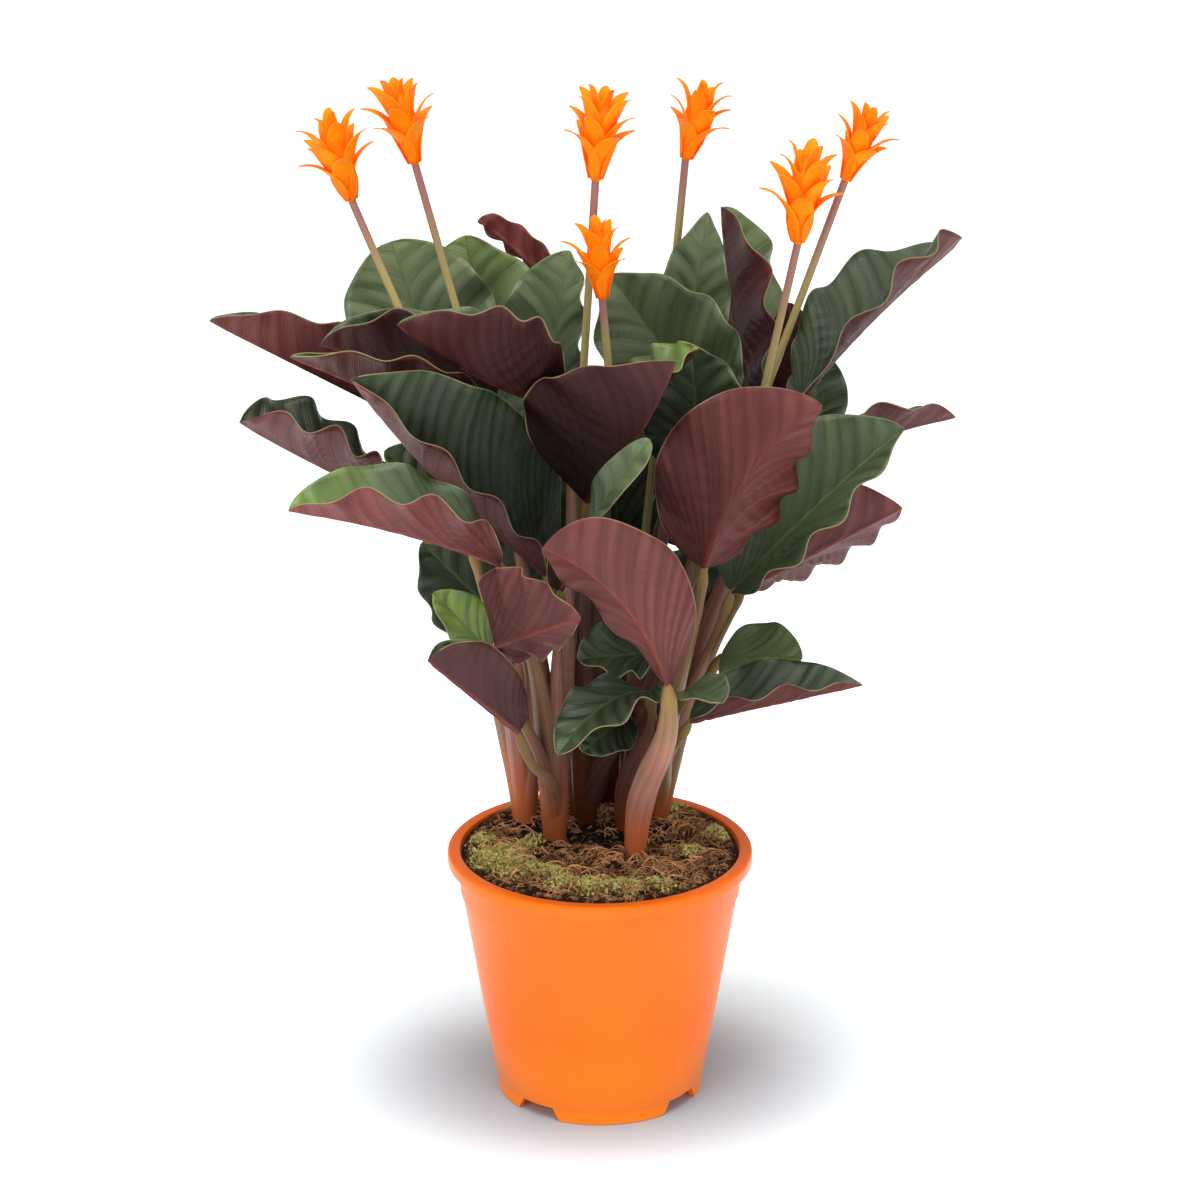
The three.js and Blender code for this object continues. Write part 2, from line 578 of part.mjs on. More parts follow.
// Layers of bracts: how many, the turn of the first, and root, belly and tip as
// [distance from the axis, height], with the bract's width at its belly.
const bractLayers = [
  { count: 4, turn: 0, root: [4.6, 7], belly: [9.2, 18], tip: [18, 24.5], width: 12 },
  { count: 4, turn: 45, root: [5, 16], belly: [8.6, 26], tip: [15, 32.5], width: 11 },
  { count: 3, turn: 20, root: [4, 24], belly: [6.6, 32.5], tip: [10.5, 38.5], width: 9 },
  { count: 1, turn: 80, root: [0.4, 32], belly: [1.8, 38], tip: [1.5, 42], width: 6 },
];

// A pointed bract, cupped towards the axis, whose root is sunk in the core.
function bract(layer, turn) {
  const place = ([radius, height], side) => new THREE.Vector3(radius, side, height)
    .applyAxisAngle(new THREE.Vector3(0, 0, 1), turn);
  const [bellyRadius, bellyHeight] = layer.belly;
  const rim = [bellyRadius - flower.bractCup, bellyHeight];
  const points = [
    place(layer.root, 0),
    place(rim, -layer.width / 2),
    place(layer.belly, 0),
    place(rim, layer.width / 2),
    place(layer.tip, 0),
  ];
  const triangles = [0, 2, 1, 0, 3, 2, 1, 2, 4, 2, 3, 4];
  return thickened(points, triangles, flower.bractThickness);
}

function makeHead(bloom) {
  const top = new THREE.Vector3(...bloom.top);
  const axis = new THREE.Vector3(...bloom.crown).sub(top).normalize();
  const core = turned([
    [0, 0],
    [flower.headBottom, 0],
    [5.2, 5],
    [6.8, 17],
    [6.2, 27],
    [0, 36],
  ], flower.coreSides);
  const pieces = [core];
  for (const layer of bractLayers) {
    for (let i = 0; i < layer.count; i++) {
      const turn = THREE.MathUtils.degToRad(layer.turn + bloom.turn) + (2 * Math.PI * i) / layer.count;
      pieces.push(bract(layer, turn));
    }
  }
  const head = toGeometry(union(pieces));
  head.scale(bloom.size, bloom.size, bloom.size);
  head.applyQuaternion(new THREE.Quaternion().setFromUnitVectors(new THREE.Vector3(0, 0, 1), axis));
  const seat = top.addScaledVector(axis, 1.5 * gap);
  return head.translate(seat.x, seat.y, seat.z);
}

// ---------------------------------------------------------------- the plant

const plant = new THREE.Group();

function addMesh(name, geometry, material) {
  const mesh = new THREE.Mesh(geometry, material);
  mesh.name = name;
  plant.add(mesh);
}

addMesh('pot', makePot(), potPlastic);
addMesh('soil', makeSoil(), soilFibre);
for (const name of Object.keys(shoots)) addMesh(`shoot_${name}`, makeShoot(name), stalkSkin);
for (const leaf of leaves) addMesh(`leaf_${leaf.name}`, makeBlade(leaf), leafSkin);
blooms.forEach((bloom, i) => addMesh(`flower_head_${i + 1}`, makeHead(bloom), bractSkin));

export default plant;
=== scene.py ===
# Eternal flame calathea (Calathea crocata) growing in its orange nursery pot.
# Metres, +Z up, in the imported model's frame. Sizes below are in millimetres unless they say so.

import math

import bmesh
import bpy
import numpy as np
from mathutils import Matrix, Vector


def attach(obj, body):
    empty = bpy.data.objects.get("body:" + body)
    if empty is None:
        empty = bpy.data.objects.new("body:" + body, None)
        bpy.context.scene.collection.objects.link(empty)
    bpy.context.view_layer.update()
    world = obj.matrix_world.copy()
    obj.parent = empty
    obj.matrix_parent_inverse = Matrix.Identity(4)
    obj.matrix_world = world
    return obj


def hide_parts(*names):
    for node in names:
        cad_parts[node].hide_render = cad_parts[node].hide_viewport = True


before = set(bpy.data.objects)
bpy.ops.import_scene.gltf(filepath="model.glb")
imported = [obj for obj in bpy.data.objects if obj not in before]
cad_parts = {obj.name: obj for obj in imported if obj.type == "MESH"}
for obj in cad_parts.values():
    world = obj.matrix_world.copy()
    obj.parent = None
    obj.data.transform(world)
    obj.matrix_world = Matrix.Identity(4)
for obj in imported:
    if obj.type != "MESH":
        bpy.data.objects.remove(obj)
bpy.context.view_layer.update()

MM = 0.001

# ------------------------------------------------------------------ the pot
# A thin-walled nursery pot moulded in satin orange plastic. A lip runs round its mouth, the wall
# tapers to a foot ring, and the ring's four notches and the floor's five holes let water out.

POT_SEGMENTS = 144
POT_PROFILE = [  # radius and height, up the outside and down the inside
    (44.7, 6.6), (44.7, 0.5), (45.2, 0), (47.2, 0), (47.7, 0.5), (47.7, 6.3), (48.2, 6.7), (48.6, 7.1),
    (53.5, 36.5), (58.5, 67.4), (63.4, 97.2), (63.7, 97.7), (64.2, 98.3), (65.2, 112.2), (65.5, 112.6),
    (69.2, 112.5), (69.8, 112.8), (70, 113.4), (70, 116.8), (69.8, 117.7), (69.3, 118.3), (68.5, 118.5),
    (65, 118.5), (64.4, 118.3), (64.2, 117.8), (63.6, 112.4), (56, 64), (47.2, 9.2), (46.4, 8.4),
]
POT_UNDERSIDE, POT_FLOOR = 6.6, 8.4
NOTCH_DEGREES = (-127.5, -37.5, 52.5, 142.5)  # from the front, towards +X
NOTCH_HEIGHT, NOTCH_BOTTOM_WIDTH, NOTCH_TOP_WIDTH = 6.2, 25, 17
NOTCH_REACH = (35, 55)  # the cut runs out through the foot ring between these distances
DRAIN_RING, DRAIN_RADIUS, DRAIN_DEPTH, DRAIN_SEGMENTS = 34, 4, 10, 32
SHARP_FROM = 38  # degrees between two faces of the pot that meet in a crisp edge


def srgb(red, green, blue):
    """A colour as a screen shows it, as the shader takes it."""
    shares = [c / 255 for c in (red, green, blue)]
    return (*[c / 12.92 if c <= 0.04045 else ((c + 0.055) / 1.055) ** 2.4 for c in shares], 1.0)


def node(tree, kind, inputs=None, **settings):
    """A new node with its settings, and its inputs set to numbers or linked to other nodes' outputs."""
    made = tree.nodes.new(kind)
    for name, value in settings.items():
        setattr(made, name, value)
    for key, value in (inputs or {}).items():
        if isinstance(value, bpy.types.NodeSocket):
            tree.links.new(value, made.inputs[key])
        else:
            made.inputs[key].default_value = value
    return made


def calculate(tree, operation, *values):
    """The result of one Math node."""
    return node(tree, "ShaderNodeMath", dict(enumerate(values)), operation=operation).outputs[0]


def fade(tree, value, start, end):
    """0 up to start and 1 from end, with a soft step between them."""
    inputs = {"Value": value, "From Min": start, "From Max": end}
    return node(tree, "ShaderNodeMapRange", inputs, interpolation_type="SMOOTHSTEP").outputs[0]


def blend(tree, factor, first, second):
    """The first colour at 0 and the second at 1."""
    made = node(tree, "ShaderNodeMix", {0: factor, 6: first, 7: second}, data_type="RGBA")
    return made.outputs[2]


def noise(tree, place, scale, detail):
    """Soft random patches from about 0.2 to 0.8."""
    inputs = {"Vector": place, "Scale": scale, "Detail": detail}
    return node(tree, "ShaderNodeTexNoise", inputs).outputs["Fac"]


def split(tree, vector):
    """The three numbers of a vector."""
    return node(tree, "ShaderNodeSeparateXYZ", {0: vector}).outputs


def new_group(name, inputs, outputs):
    """An empty shader node group and its two ends. A socket is given as its name and kind."""
    tree = bpy.data.node_groups.new(name, "ShaderNodeTree")
    for socket, kind in inputs.items():
        tree.interface.new_socket(socket, in_out="INPUT", socket_type=f"NodeSocket{kind}")
    for socket, kind in outputs.items():
        tree.interface.new_socket(socket, in_out="OUTPUT", socket_type=f"NodeSocket{kind}")
    return tree, tree.nodes.new("NodeGroupInput").outputs, tree.nodes.new("NodeGroupOutput").inputs


def mottle_group():
    """Patches and grain of a natural or moulded surface, for colour, gloss and bump."""
    tree, given, result = new_group(
        "mottle", {"Vector": "Vector", "Patch Scale": "Float", "Grain Scale": "Float"},
        {"Patches": "Float", "Grain": "Float"},
    )
    for socket, scale, detail in (("Patches", "Patch Scale", 3.0), ("Grain", "Grain Scale", 4.0)):
        inputs = {"Vector": given["Vector"], "Scale": given[scale], "Detail": detail, "Roughness": 0.6}
        cloud = node(tree, "ShaderNodeTexNoise", inputs).outputs["Fac"]
        tree.links.new(fade(tree, cloud, 0.3, 0.7), result[socket])
    return tree


mottle = mottle_group()


def new_material(name):
    """An empty node material, its tree and its Principled shader."""
    material = bpy.data.materials.new(name)
    material.use_nodes = True
    return material, material.node_tree, material.node_tree.nodes["Principled BSDF"]


def mottled(tree, patch_scale, grain_scale):
    """The patches and grain of a piece in its own coordinates."""
    place = node(tree, "ShaderNodeTexCoord").outputs["Object"]
    inputs = {"Vector": place, "Patch Scale": patch_scale, "Grain Scale": grain_scale}
    made = node(tree, "ShaderNodeGroup", inputs, node_tree=mottle)
    return made.outputs["Patches"], made.outputs["Grain"]


def set_finish(shader, **values):
    """Sets values that are the same all over a surface. An underscore stands for a space."""
    for name, value in values.items():
        shader.inputs[name.replace("_", " ")].default_value = value


def bumped(tree, shader, height, depth):
    """Gives a shader relief of that depth in metres."""
    inputs = {"Height": height, "Distance": depth, "Strength": 1.0}
    tree.links.new(node(tree, "ShaderNodeBump", inputs).outputs["Normal"], shader.inputs["Normal"])


def pot_material():
    """Satin orange with faint rings from the mould, and painted light low down: paler orange and an orange
    glow near the floor stand in for light thrown up from it.
    """
    material, tree, shader = new_material("satin_orange_plastic")
    patches, grain = mottled(tree, 14.0, 900.0)
    place = node(tree, "ShaderNodeTexCoord").outputs["Object"]
    height = split(tree, place)["Z"]
    inputs = {"Scale": 260.0, "W": height}
    rings = node(tree, "ShaderNodeTexNoise", inputs, noise_dimensions="1D").outputs["Fac"]
    orange = blend(tree, patches, srgb(251, 106, 6), srgb(254, 113, 10))
    # Painted light: the orange turns paler over the lowest 5 cm, as if lit from the floor.
    orange = blend(tree, fade(tree, height, 0.05, 0.0), orange, srgb(255, 128, 26))
    tree.links.new(orange, shader.inputs["Base Color"])
    # Painted light: an orange glow over the lowest 4.5 cm, standing in for light thrown up from the floor.
    bounce = blend(tree, fade(tree, height, 0.045, 0.0), (0, 0, 0, 1), srgb(255, 124, 20))
    tree.links.new(bounce, shader.inputs["Emission Color"])
    gloss = node(tree, "ShaderNodeMapRange", {"Value": patches, "To Min": 0.3, "To Max": 0.38}).outputs[0]
    tree.links.new(gloss, shader.inputs["Roughness"])
    set_finish(shader, Specular_IOR_Level=0.2, Emission_Strength=0.14, Sheen_Weight=0.5,
               Sheen_Roughness=0.25, Sheen_Tint=srgb(255, 214, 176))
    bumped(tree, shader, calculate(tree, "MULTIPLY_ADD", grain, 0.3, rings), 0.00006)
    return material


def turned(profile, segments):
    """Points and faces of a body of revolution about Z. A profile point on the axis becomes one point."""
    points, faces, rings = [], [], []
    turns = 2 * np.pi * np.arange(segments) / segments
    for radius, height in profile:
        start = len(points)
        if radius == 0:
            points.append((0, 0, height))
            rings.append([start] * segments)
        else:
            points += [(radius * math.sin(a), -radius * math.cos(a), height) for a in turns]
            rings.append(list(range(start, start + segments)))
    for lower, upper in zip(rings, rings[1:]):
        for i in range(segments):
            k = (i + 1) % segments
            corners = [lower[i], lower[k], upper[k], upper[i]]
            faces.append(list(dict.fromkeys(corners)))
    return np.array(points, float), faces


def mark_points(mesh, attributes):
    """Gives each point of a mesh its own numbers or vectors under the attributes' names."""
    for key, values in attributes.items():
        values = np.asarray(values, np.float32)
        kind, field = ("FLOAT", "value") if values.ndim == 1 else ("FLOAT_VECTOR", "vector")
        mesh.attributes.new(key, kind, "POINT").data.foreach_set(field, values.ravel())


def new_mesh(name, points, faces, material=None, **attributes):
    """A smooth mesh from points in millimetres, with attributes that have a value for every point."""
    mesh = bpy.data.meshes.new(name)
    mesh.from_pydata(np.asarray(points) * MM, [], faces)
    mark_points(mesh, attributes)
    if material:
        mesh.materials.append(material)
    mesh.shade_smooth()
    return mesh


def new_object(name, data):
    """An object in the scene with that mesh, lamp or lens."""
    made = bpy.data.objects.new(name, data)
    bpy.context.scene.collection.objects.link(made)
    return made


def new_piece(name, mesh, slot, *nodes):
    """A piece of the plant or pot in its place, which stands for those CAD nodes."""
    piece = new_object(name, mesh)
    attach(piece, "root")
    if nodes:
        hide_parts(*nodes)
    return piece


def add_drain(cutter, x, y):
    """A round cutter through the pot's floor."""
    inside = Matrix.Translation((x, y, (POT_UNDERSIDE + POT_FLOOR) / 2))
    bmesh.ops.create_cone(cutter, cap_ends=True, segments=DRAIN_SEGMENTS, radius1=DRAIN_RADIUS,
                          radius2=DRAIN_RADIUS, depth=DRAIN_DEPTH, matrix=inside)


def pot_cutters():
    """The notches and drain holes as one mesh, to be cut from the pot."""
    cutter = bmesh.new()
    ends = [(-NOTCH_BOTTOM_WIDTH / 2, -1), (NOTCH_BOTTOM_WIDTH / 2, -1),
            (NOTCH_TOP_WIDTH / 2, NOTCH_HEIGHT), (-NOTCH_TOP_WIDTH / 2, NOTCH_HEIGHT)]
    quads = ((3, 2, 1, 0), (4, 5, 6, 7), (0, 1, 5, 4), (1, 2, 6, 5), (2, 3, 7, 6), (3, 0, 4, 7))
    for degrees in NOTCH_DEGREES:
        turn = Matrix.Rotation(math.radians(degrees), 4, "Z")
        corners = [cutter.verts.new(turn @ Vector((x, -y, z))) for y in NOTCH_REACH for x, z in ends]
        for quad in quads:
            cutter.faces.new([corners[i] for i in quad])
        aside = math.radians(degrees - 45)
        add_drain(cutter, DRAIN_RING * math.sin(aside), -DRAIN_RING * math.cos(aside))
    add_drain(cutter, 0, 0)
    bmesh.ops.recalc_face_normals(cutter, faces=cutter.faces)
    bmesh.ops.scale(cutter, vec=(MM, MM, MM), verts=cutter.verts)
    mesh = bpy.data.meshes.new("pot_cutters")
    cutter.to_mesh(mesh)
    cutter.free()
    return mesh


def cut(mesh, cutter_mesh):
    """A mesh with another one cut out of it."""
    block, cutter = new_object("block", mesh), new_object("cutter", cutter_mesh)
    taken = block.modifiers.new("cut", "BOOLEAN")
    taken.operation, taken.solver, taken.object = "DIFFERENCE", "EXACT", cutter
    graph = bpy.context.evaluated_depsgraph_get()
    result = bpy.data.meshes.new_from_object(block.evaluated_get(graph))
    for each in (block, cutter):
        bpy.data.objects.remove(each)
    return result


profile = [(0, POT_UNDERSIDE), *POT_PROFILE, (0, POT_FLOOR)]
pot_mesh = cut(new_mesh("pot_body", *turned(profile, POT_SEGMENTS), pot_material()), pot_cutters())
pot_mesh.set_sharp_from_angle(angle=math.radians(SHARP_FROM))
new_piece("nursery_pot", pot_mesh, "pot_plastic", "pot")

# ------------------------------------------------------------------ the potting mix
# Coir and peat that fill the pot and are heaped a little towards its middle. The top is lumpy, with
# curled coir strands, short fibres and crumbs lying loose on it, and cushions of yellow-green moss
# grow round its edge.

MIX_EDGE = 63.2
MIX_BOTTOM, MIX_BOTTOM_RADIUS, MIX_SIDE_TOP = 8.7, 46.5, 111.5
MIX_RINGS, MIX_SEGMENTS = 64, 150
MIX_SLOPE = ((0, 117.6), (16, 117.4), (33, 117.2), (48, 117), (60, 117), (MIX_EDGE, 116.2))
REAR_RISE, REAR_REACH = 2.2, 50  # how much higher the mix lies from this far behind the middle
LUMPS, LUMPS_WITHIN = 420, 60
LUMP_SIZES, LUMP_RISES = (1.6, 5.0), (-1.1, 1.3)
# Painted shade: the mix turns nearly black round these spots between the shoots, where the plant shades it.
SHADE_SPOTS = ((-30, 26), (-18, 10), (-6, 20), (6, 10), (14, 24))  # x and y, just behind each middle
SHADE_FORWARD, SHADE_REACH = 6, 12
MOSS_RISE, MOSS_SLOPE, MOSS_STEEPNESS, MOSS_RAGGEDNESS = 2.4, 6, 2.2, 0.18
MOSS = (  # middle x and y, radius
    (-45, -12, 16), (-36, -25, 12), (-31, 4, 8), (-53, 6, 8), (-16, -39, 9), (-3, -44, 10), (12, -45, 9),
    (25, -42, 8), (42, -6, 6), (54, 16, 7), (-22, -30, 7), (30, 42, 10), (-38, 44, 8),
)
STRANDS, FIBRES, SPRIGS, CRUMBS = 2100, 3900, 16800, 1500  # if they lay all over the top
STRAND_PIECES, STRANDS_TOGETHER = 3, 3
STRAND_LENGTHS, STRAND_CURL, STRAND_RISES = (3.5, 8), 4, (0.4, 3.4)
STRAND_RADIUS, STRAND_END_RADIUS, STRAND_SIDES = 0.56, 0.24, 3
FIBRE_SIZE, FIBRE_STATIONS = 0.4, 5
SPRIG_LEAFLETS, SPRIG_HEIGHT, LEAFLET_REACH = 5, 1.5, 2.4
LEAFLET_ROOT, LEAFLET_WAIST = 0.25, 0.28  # half a leaflet's width at its root and half way up
CRUMB_SIZES, CRUMB_FLATNESS = (0.6, 1.2), 0.6


def new_tree(name, inputs):
    """An empty geometry node tree from Geometry to Geometry, with more named inputs, and its ends."""
    tree = bpy.data.node_groups.new(name, "GeometryNodeTree")
    tree.interface.new_socket("Geometry", in_out="INPUT", socket_type="NodeSocketGeometry")
    for socket, kind in inputs.items():
        tree.interface.new_socket(socket, in_out="INPUT", socket_type=f"NodeSocket{kind}")
    tree.interface.new_socket("Geometry", in_out="OUTPUT", socket_type="NodeSocketGeometry")
    return tree, tree.nodes.new("NodeGroupInput").outputs, tree.nodes.new("NodeGroupOutput").inputs[0]


def attribute(tree, name, kind="FLOAT"):
    """A named attribute inside a geometry node tree."""
    made = node(tree, "GeometryNodeInputNamedAttribute", {"Name": name}, data_type=kind)
    return made.outputs["Attribute"]


def random_number(tree, low, high, seed):
    """A random number for each instance or point."""
    made = node(tree, "FunctionNodeRandomValue", {"Seed": seed}, data_type="FLOAT")
    ends = [socket for socket in made.inputs if socket.enabled and socket.name in ("Min", "Max")]
    ends[0].default_value, ends[1].default_value = low, high
    return next(socket for socket in made.outputs if socket.enabled)


def end_tree(tree, geometry, given, result):
    """Ends a geometry node tree: its instances are made real and take its material."""
    whole = node(tree, "GeometryNodeRealizeInstances", {"Geometry": geometry}).outputs[0]
    inputs = {"Geometry": whole, "Material": given["Material"]}
    tree.links.new(node(tree, "GeometryNodeSetMaterial", inputs).outputs[0], result)


def combined(tree, x=0.0, y=0.0, z=0.0):
    """A vector of three numbers."""
    return node(tree, "ShaderNodeCombineXYZ", {0: x, 1: y, 2: z}).outputs[0]


def grown(mesh, tree, **inputs):
    """The plain mesh that a geometry node tree makes of a mesh."""
    carrier = new_object("carrier", mesh)
    modifier = carrier.modifiers.new("grown", "NODES")
    modifier.node_group = tree
    for item in tree.interface.items_tree:
        if item.in_out == "INPUT" and item.name in inputs:
            modifier[item.identifier] = inputs[item.name]
    graph = bpy.context.evaluated_depsgraph_get()
    result = bpy.data.meshes.new_from_object(carrier.evaluated_get(graph))
    bpy.data.objects.remove(carrier)
    return result


def tube_tree():
    """Round tubes along a mesh's lines, with the radius, in metres, that each of its points names."""
    tree, given, result = new_tree("tubes", {"Sides": "Int", "Material": "Material"})
    lines = node(tree, "GeometryNodeMeshToCurve", {"Mesh": given["Geometry"]}).outputs[0]
    ring = node(tree, "GeometryNodeCurvePrimitiveCircle", {"Resolution": given["Sides"], "Radius": 1.0})
    place = node(tree, "GeometryNodeInputPosition").outputs[0]
    inputs = {"Geometry": ring.outputs[0], "Name": "around", "Value": place}
    marked = node(tree, "GeometryNodeStoreNamedAttribute", inputs, data_type="FLOAT_VECTOR")
    inputs = {"Curve": lines, "Profile Curve": marked.outputs[0], "Fill Caps": True,
              "Scale": attribute(tree, "radius")}
    tube = node(tree, "GeometryNodeCurveToMesh", inputs).outputs[0]
    smooth = node(tree, "GeometryNodeSetShadeSmooth", {"Geometry": tube}).outputs[0]
    end_tree(tree, smooth, given, result)
    return tree


tubes = tube_tree()


def line_mesh(name, lines, **attributes):
    """Open lines of points in millimetres as one mesh, with each line's radii and other attributes."""
    points = np.concatenate(lines)
    edges, start = [], 0
    for line in lines:
        edges += [(i, i + 1) for i in range(start, start + len(line) - 1)]
        start += len(line)
    mesh = bpy.data.meshes.new(name)
    mesh.from_pydata(points * MM, edges, [])
    mark_points(mesh, {key: np.concatenate(values) for key, values in attributes.items()})
    return mesh


def blend_number(tree, factor, first, second):
    """The first number at 0 and the second at 1."""
    return node(tree, "ShaderNodeMix", {0: factor, 2: first, 3: second}, data_type="FLOAT").outputs[0]


def strew_tree():
    """Copies of a small template strewn over the mix, upright on it and smaller near its edge.

    Where is 0 for things that lie off the moss and 1 for things that grow in it.
    """
    tree, given, result = new_tree("strewn", {
        "Template": "Object", "Number": "Float", "Where": "Float", "Reach": "Float", "Tilt": "Float",
        "Smallest": "Float", "Seed": "Int", "Material": "Material",
    })
    moss, room = attribute(tree, "moss"), attribute(tree, "room")
    off_moss = calculate(tree, "MULTIPLY_ADD", moss, -0.8, 1.0)
    wanted = blend_number(tree, given["Where"], off_moss, moss)
    # Fewer copies where the painted shade between the shoots darkens the mix.
    off_shade = calculate(tree, "MULTIPLY_ADD", attribute(tree, "wet"), -0.75, 1.0)
    on_top = calculate(tree, "GREATER_THAN", room, 0.0)
    for factor in (off_shade, on_top, given["Number"]):
        wanted = calculate(tree, "MULTIPLY", wanted, factor)
    inputs = {"Mesh": given["Geometry"], "Density": wanted, "Seed": given["Seed"]}
    spread = node(tree, "GeometryNodeDistributePointsOnFaces", inputs)
    template = node(tree, "GeometryNodeObjectInfo", {"Object": given["Template"]}).outputs["Geometry"]
    leans = [calculate(tree, "MULTIPLY", given["Tilt"], random_number(tree, -1, 1, seed))
             for seed in (1, 2)]
    tilt = combined(tree, *leans, random_number(tree, 0, 2 * math.pi, 3))
    turned_to = node(tree, "FunctionNodeRotateRotation", {0: spread.outputs["Rotation"], 1: tilt},
                     rotation_space="LOCAL").outputs[0]
    room = calculate(tree, "DIVIDE", room, given["Reach"])
    loose = blend_number(tree, random_number(tree, 0, 1, 4), given["Smallest"], 1.0)
    size = calculate(tree, "MULTIPLY", calculate(tree, "MINIMUM", room, 1.0), loose)
    inputs = {"Points": spread.outputs["Points"], "Instance": template, "Rotation": turned_to,
              "Scale": size}
    placed = node(tree, "GeometryNodeInstanceOnPoints", inputs).outputs[0]
    inputs = {"Geometry": placed, "Name": "tint", "Value": random_number(tree, 0, 1, 5)}
    marked = node(tree, "GeometryNodeStoreNamedAttribute", inputs, domain="INSTANCE", data_type="FLOAT")
    end_tree(tree, marked.outputs[0], given, result)
    return tree


strew = strew_tree()


def moss_cover(x, y):
    """How much moss grows at a point, from 0 to 1."""
    wobble = 1 + MOSS_RAGGEDNESS * np.sin(0.9 * x + 0.5 * y) + MOSS_RAGGEDNESS * np.cos(0.8 * y - 0.6 * x)
    cover = np.zeros_like(x)
    for middle_x, middle_y, radius in MOSS:
        distance = np.hypot(x - middle_x, y - middle_y) / (radius * wobble)
        cover = np.maximum(cover, np.clip(MOSS_STEEPNESS * (1 - distance), 0, 1))
    return cover


def mix_heights(x, y):
    """The height of the mix's lumpy top."""
    chance = np.random.default_rng(11)
    height = np.interp(np.hypot(x, y), *zip(*MIX_SLOPE)) + REAR_RISE * np.clip(y / REAR_REACH, 0, 1)
    for _ in range(LUMPS):
        turn, reach = chance.uniform(0, 2 * math.pi), LUMPS_WITHIN * math.sqrt(chance.uniform(0, 1))
        size, rise = chance.uniform(*LUMP_SIZES), chance.uniform(*LUMP_RISES)
        distance = np.hypot(x - reach * math.sin(turn), y - reach * math.cos(turn)) / size
        height = height + rise * np.exp(-distance ** 2)
    return height + MOSS_RISE * moss_cover(x, y) * np.clip((MIX_EDGE - np.hypot(x, y)) / MOSS_SLOPE, 0, 1)


def shade_among_shoots(x, y):
    """How much painted shade darkens the mix at a point, where fewer loose strands lie: 1 between the
    shoots and 0 away from them.
    """
    distances = [np.hypot(x - across, y - back + SHADE_FORWARD) for across, back in SHADE_SPOTS]
    nearest = np.min(distances, axis=0)
    return np.clip(1.6 - nearest / SHADE_REACH, 0, 1)


def mix_mesh(material):
    """The mix as one body, with how mossy its top is, how much painted shade darkens it between the shoots,
    and how far each point is from the pot.
    """
    radii = MIX_EDGE * np.sin(0.5 * np.pi * np.linspace(0, 1, MIX_RINGS + 1)[1:])
    sides = [(0, MIX_BOTTOM), (MIX_BOTTOM_RADIUS, MIX_BOTTOM), (MIX_EDGE, MIX_SIDE_TOP)]
    top = [(radius, MIX_SIDE_TOP + 1) for radius in (*radii[::-1], 0)]
    points, faces = turned(sides + top, MIX_SEGMENTS)
    on_top = points[:, 2] > MIX_SIDE_TOP
    x, y = points[:, 0], points[:, 1]
    points[on_top, 2] = mix_heights(x, y)[on_top]
    room = np.where(on_top, MIX_EDGE - np.hypot(x, y), 0)
    return new_mesh("potting_mix", points, faces, material, moss=moss_cover(x, y) * on_top, room=room,
                    wet=shade_among_shoots(x, y))


def carried(tree, name, output="Fac"):
    """A value or vector that the mesh carries at each point."""
    return node(tree, "ShaderNodeAttribute", attribute_name=name).outputs[output]


def laid(tree, first, second, mask, strength):
    """The first colour, with the second laid over it where the mask is, at that strength."""
    return blend(tree, calculate(tree, "MULTIPLY", mask, strength), first, second)


def mix_material():
    """Crumbly brown peat, green under the moss, and nearly black with painted shade between the shoots."""
    material, tree, shader = new_material("coir_and_peat")
    patches, grain = mottled(tree, 150.0, 1400.0)
    brown = blend(tree, patches, srgb(22, 13, 10), srgb(84, 52, 33))
    green = blend(tree, grain, srgb(112, 104, 36), srgb(196, 184, 92))
    colour = laid(tree, brown, srgb(20, 13, 10), grain, 0.5)
    colour = laid(tree, colour, green, carried(tree, "moss"), 0.85)
    # Painted shade: nearly black between the shoots.
    colour = laid(tree, colour, srgb(10, 7, 6), carried(tree, "wet"), 0.8)
    tree.links.new(colour, shader.inputs["Base Color"])
    set_finish(shader, Roughness=0.95, Specular_IOR_Level=0.2)
    bumped(tree, shader, grain, 0.0012)
    return material


def tinted_material(name, dark, pale, roughness):
    """A dry fibre or moss sprig: each copy has a tint of its own between two colours."""
    material, tree, shader = new_material(name)
    patches, grain = mottled(tree, 300.0, 2200.0)
    tint = calculate(tree, "POWER", carried(tree, "tint"), 1.3)
    shifted = calculate(tree, "MULTIPLY_ADD", patches, 0.25, tint)
    tree.links.new(blend(tree, shifted, dark, pale), shader.inputs["Base Color"])
    set_finish(shader, Roughness=roughness, Specular_IOR_Level=0.25)
    bumped(tree, shader, grain, 0.0001)
    return material


def strand_template(seed, stations=9, size=1):
    """Curled coir strands lying together, each a bent tube. size is 1 for the longest kind."""
    chance = np.random.default_rng(seed)
    lines, radii = [], []
    for _ in range(STRANDS_TOGETHER):
        steps = np.linspace(-1, 1, stations)
        length, curl = chance.uniform(*STRAND_LENGTHS), chance.uniform(-STRAND_CURL, STRAND_CURL)
        turn = chance.uniform(0, 2 * math.pi)
        wander = curl * steps ** 2 + chance.uniform(0.8, 2.2) * np.sin(3.5 * steps + chance.uniform(0, 6))
        along = length * steps
        x = along * math.cos(turn) - wander * math.sin(turn)
        y = along * math.sin(turn) + wander * math.cos(turn)
        z = 0.2 + chance.uniform(*STRAND_RISES) * (1 - steps ** 2)
        lines.append(size * np.stack([x, y, z], 1))
        taper = np.linspace(STRAND_RADIUS, STRAND_END_RADIUS, stations)
        radii.append(taper * chance.uniform(0.4, 1.2) * size ** 0.6 * MM)
    return grown(line_mesh("strands", lines, radius=radii), tubes, Sides=STRAND_SIDES)


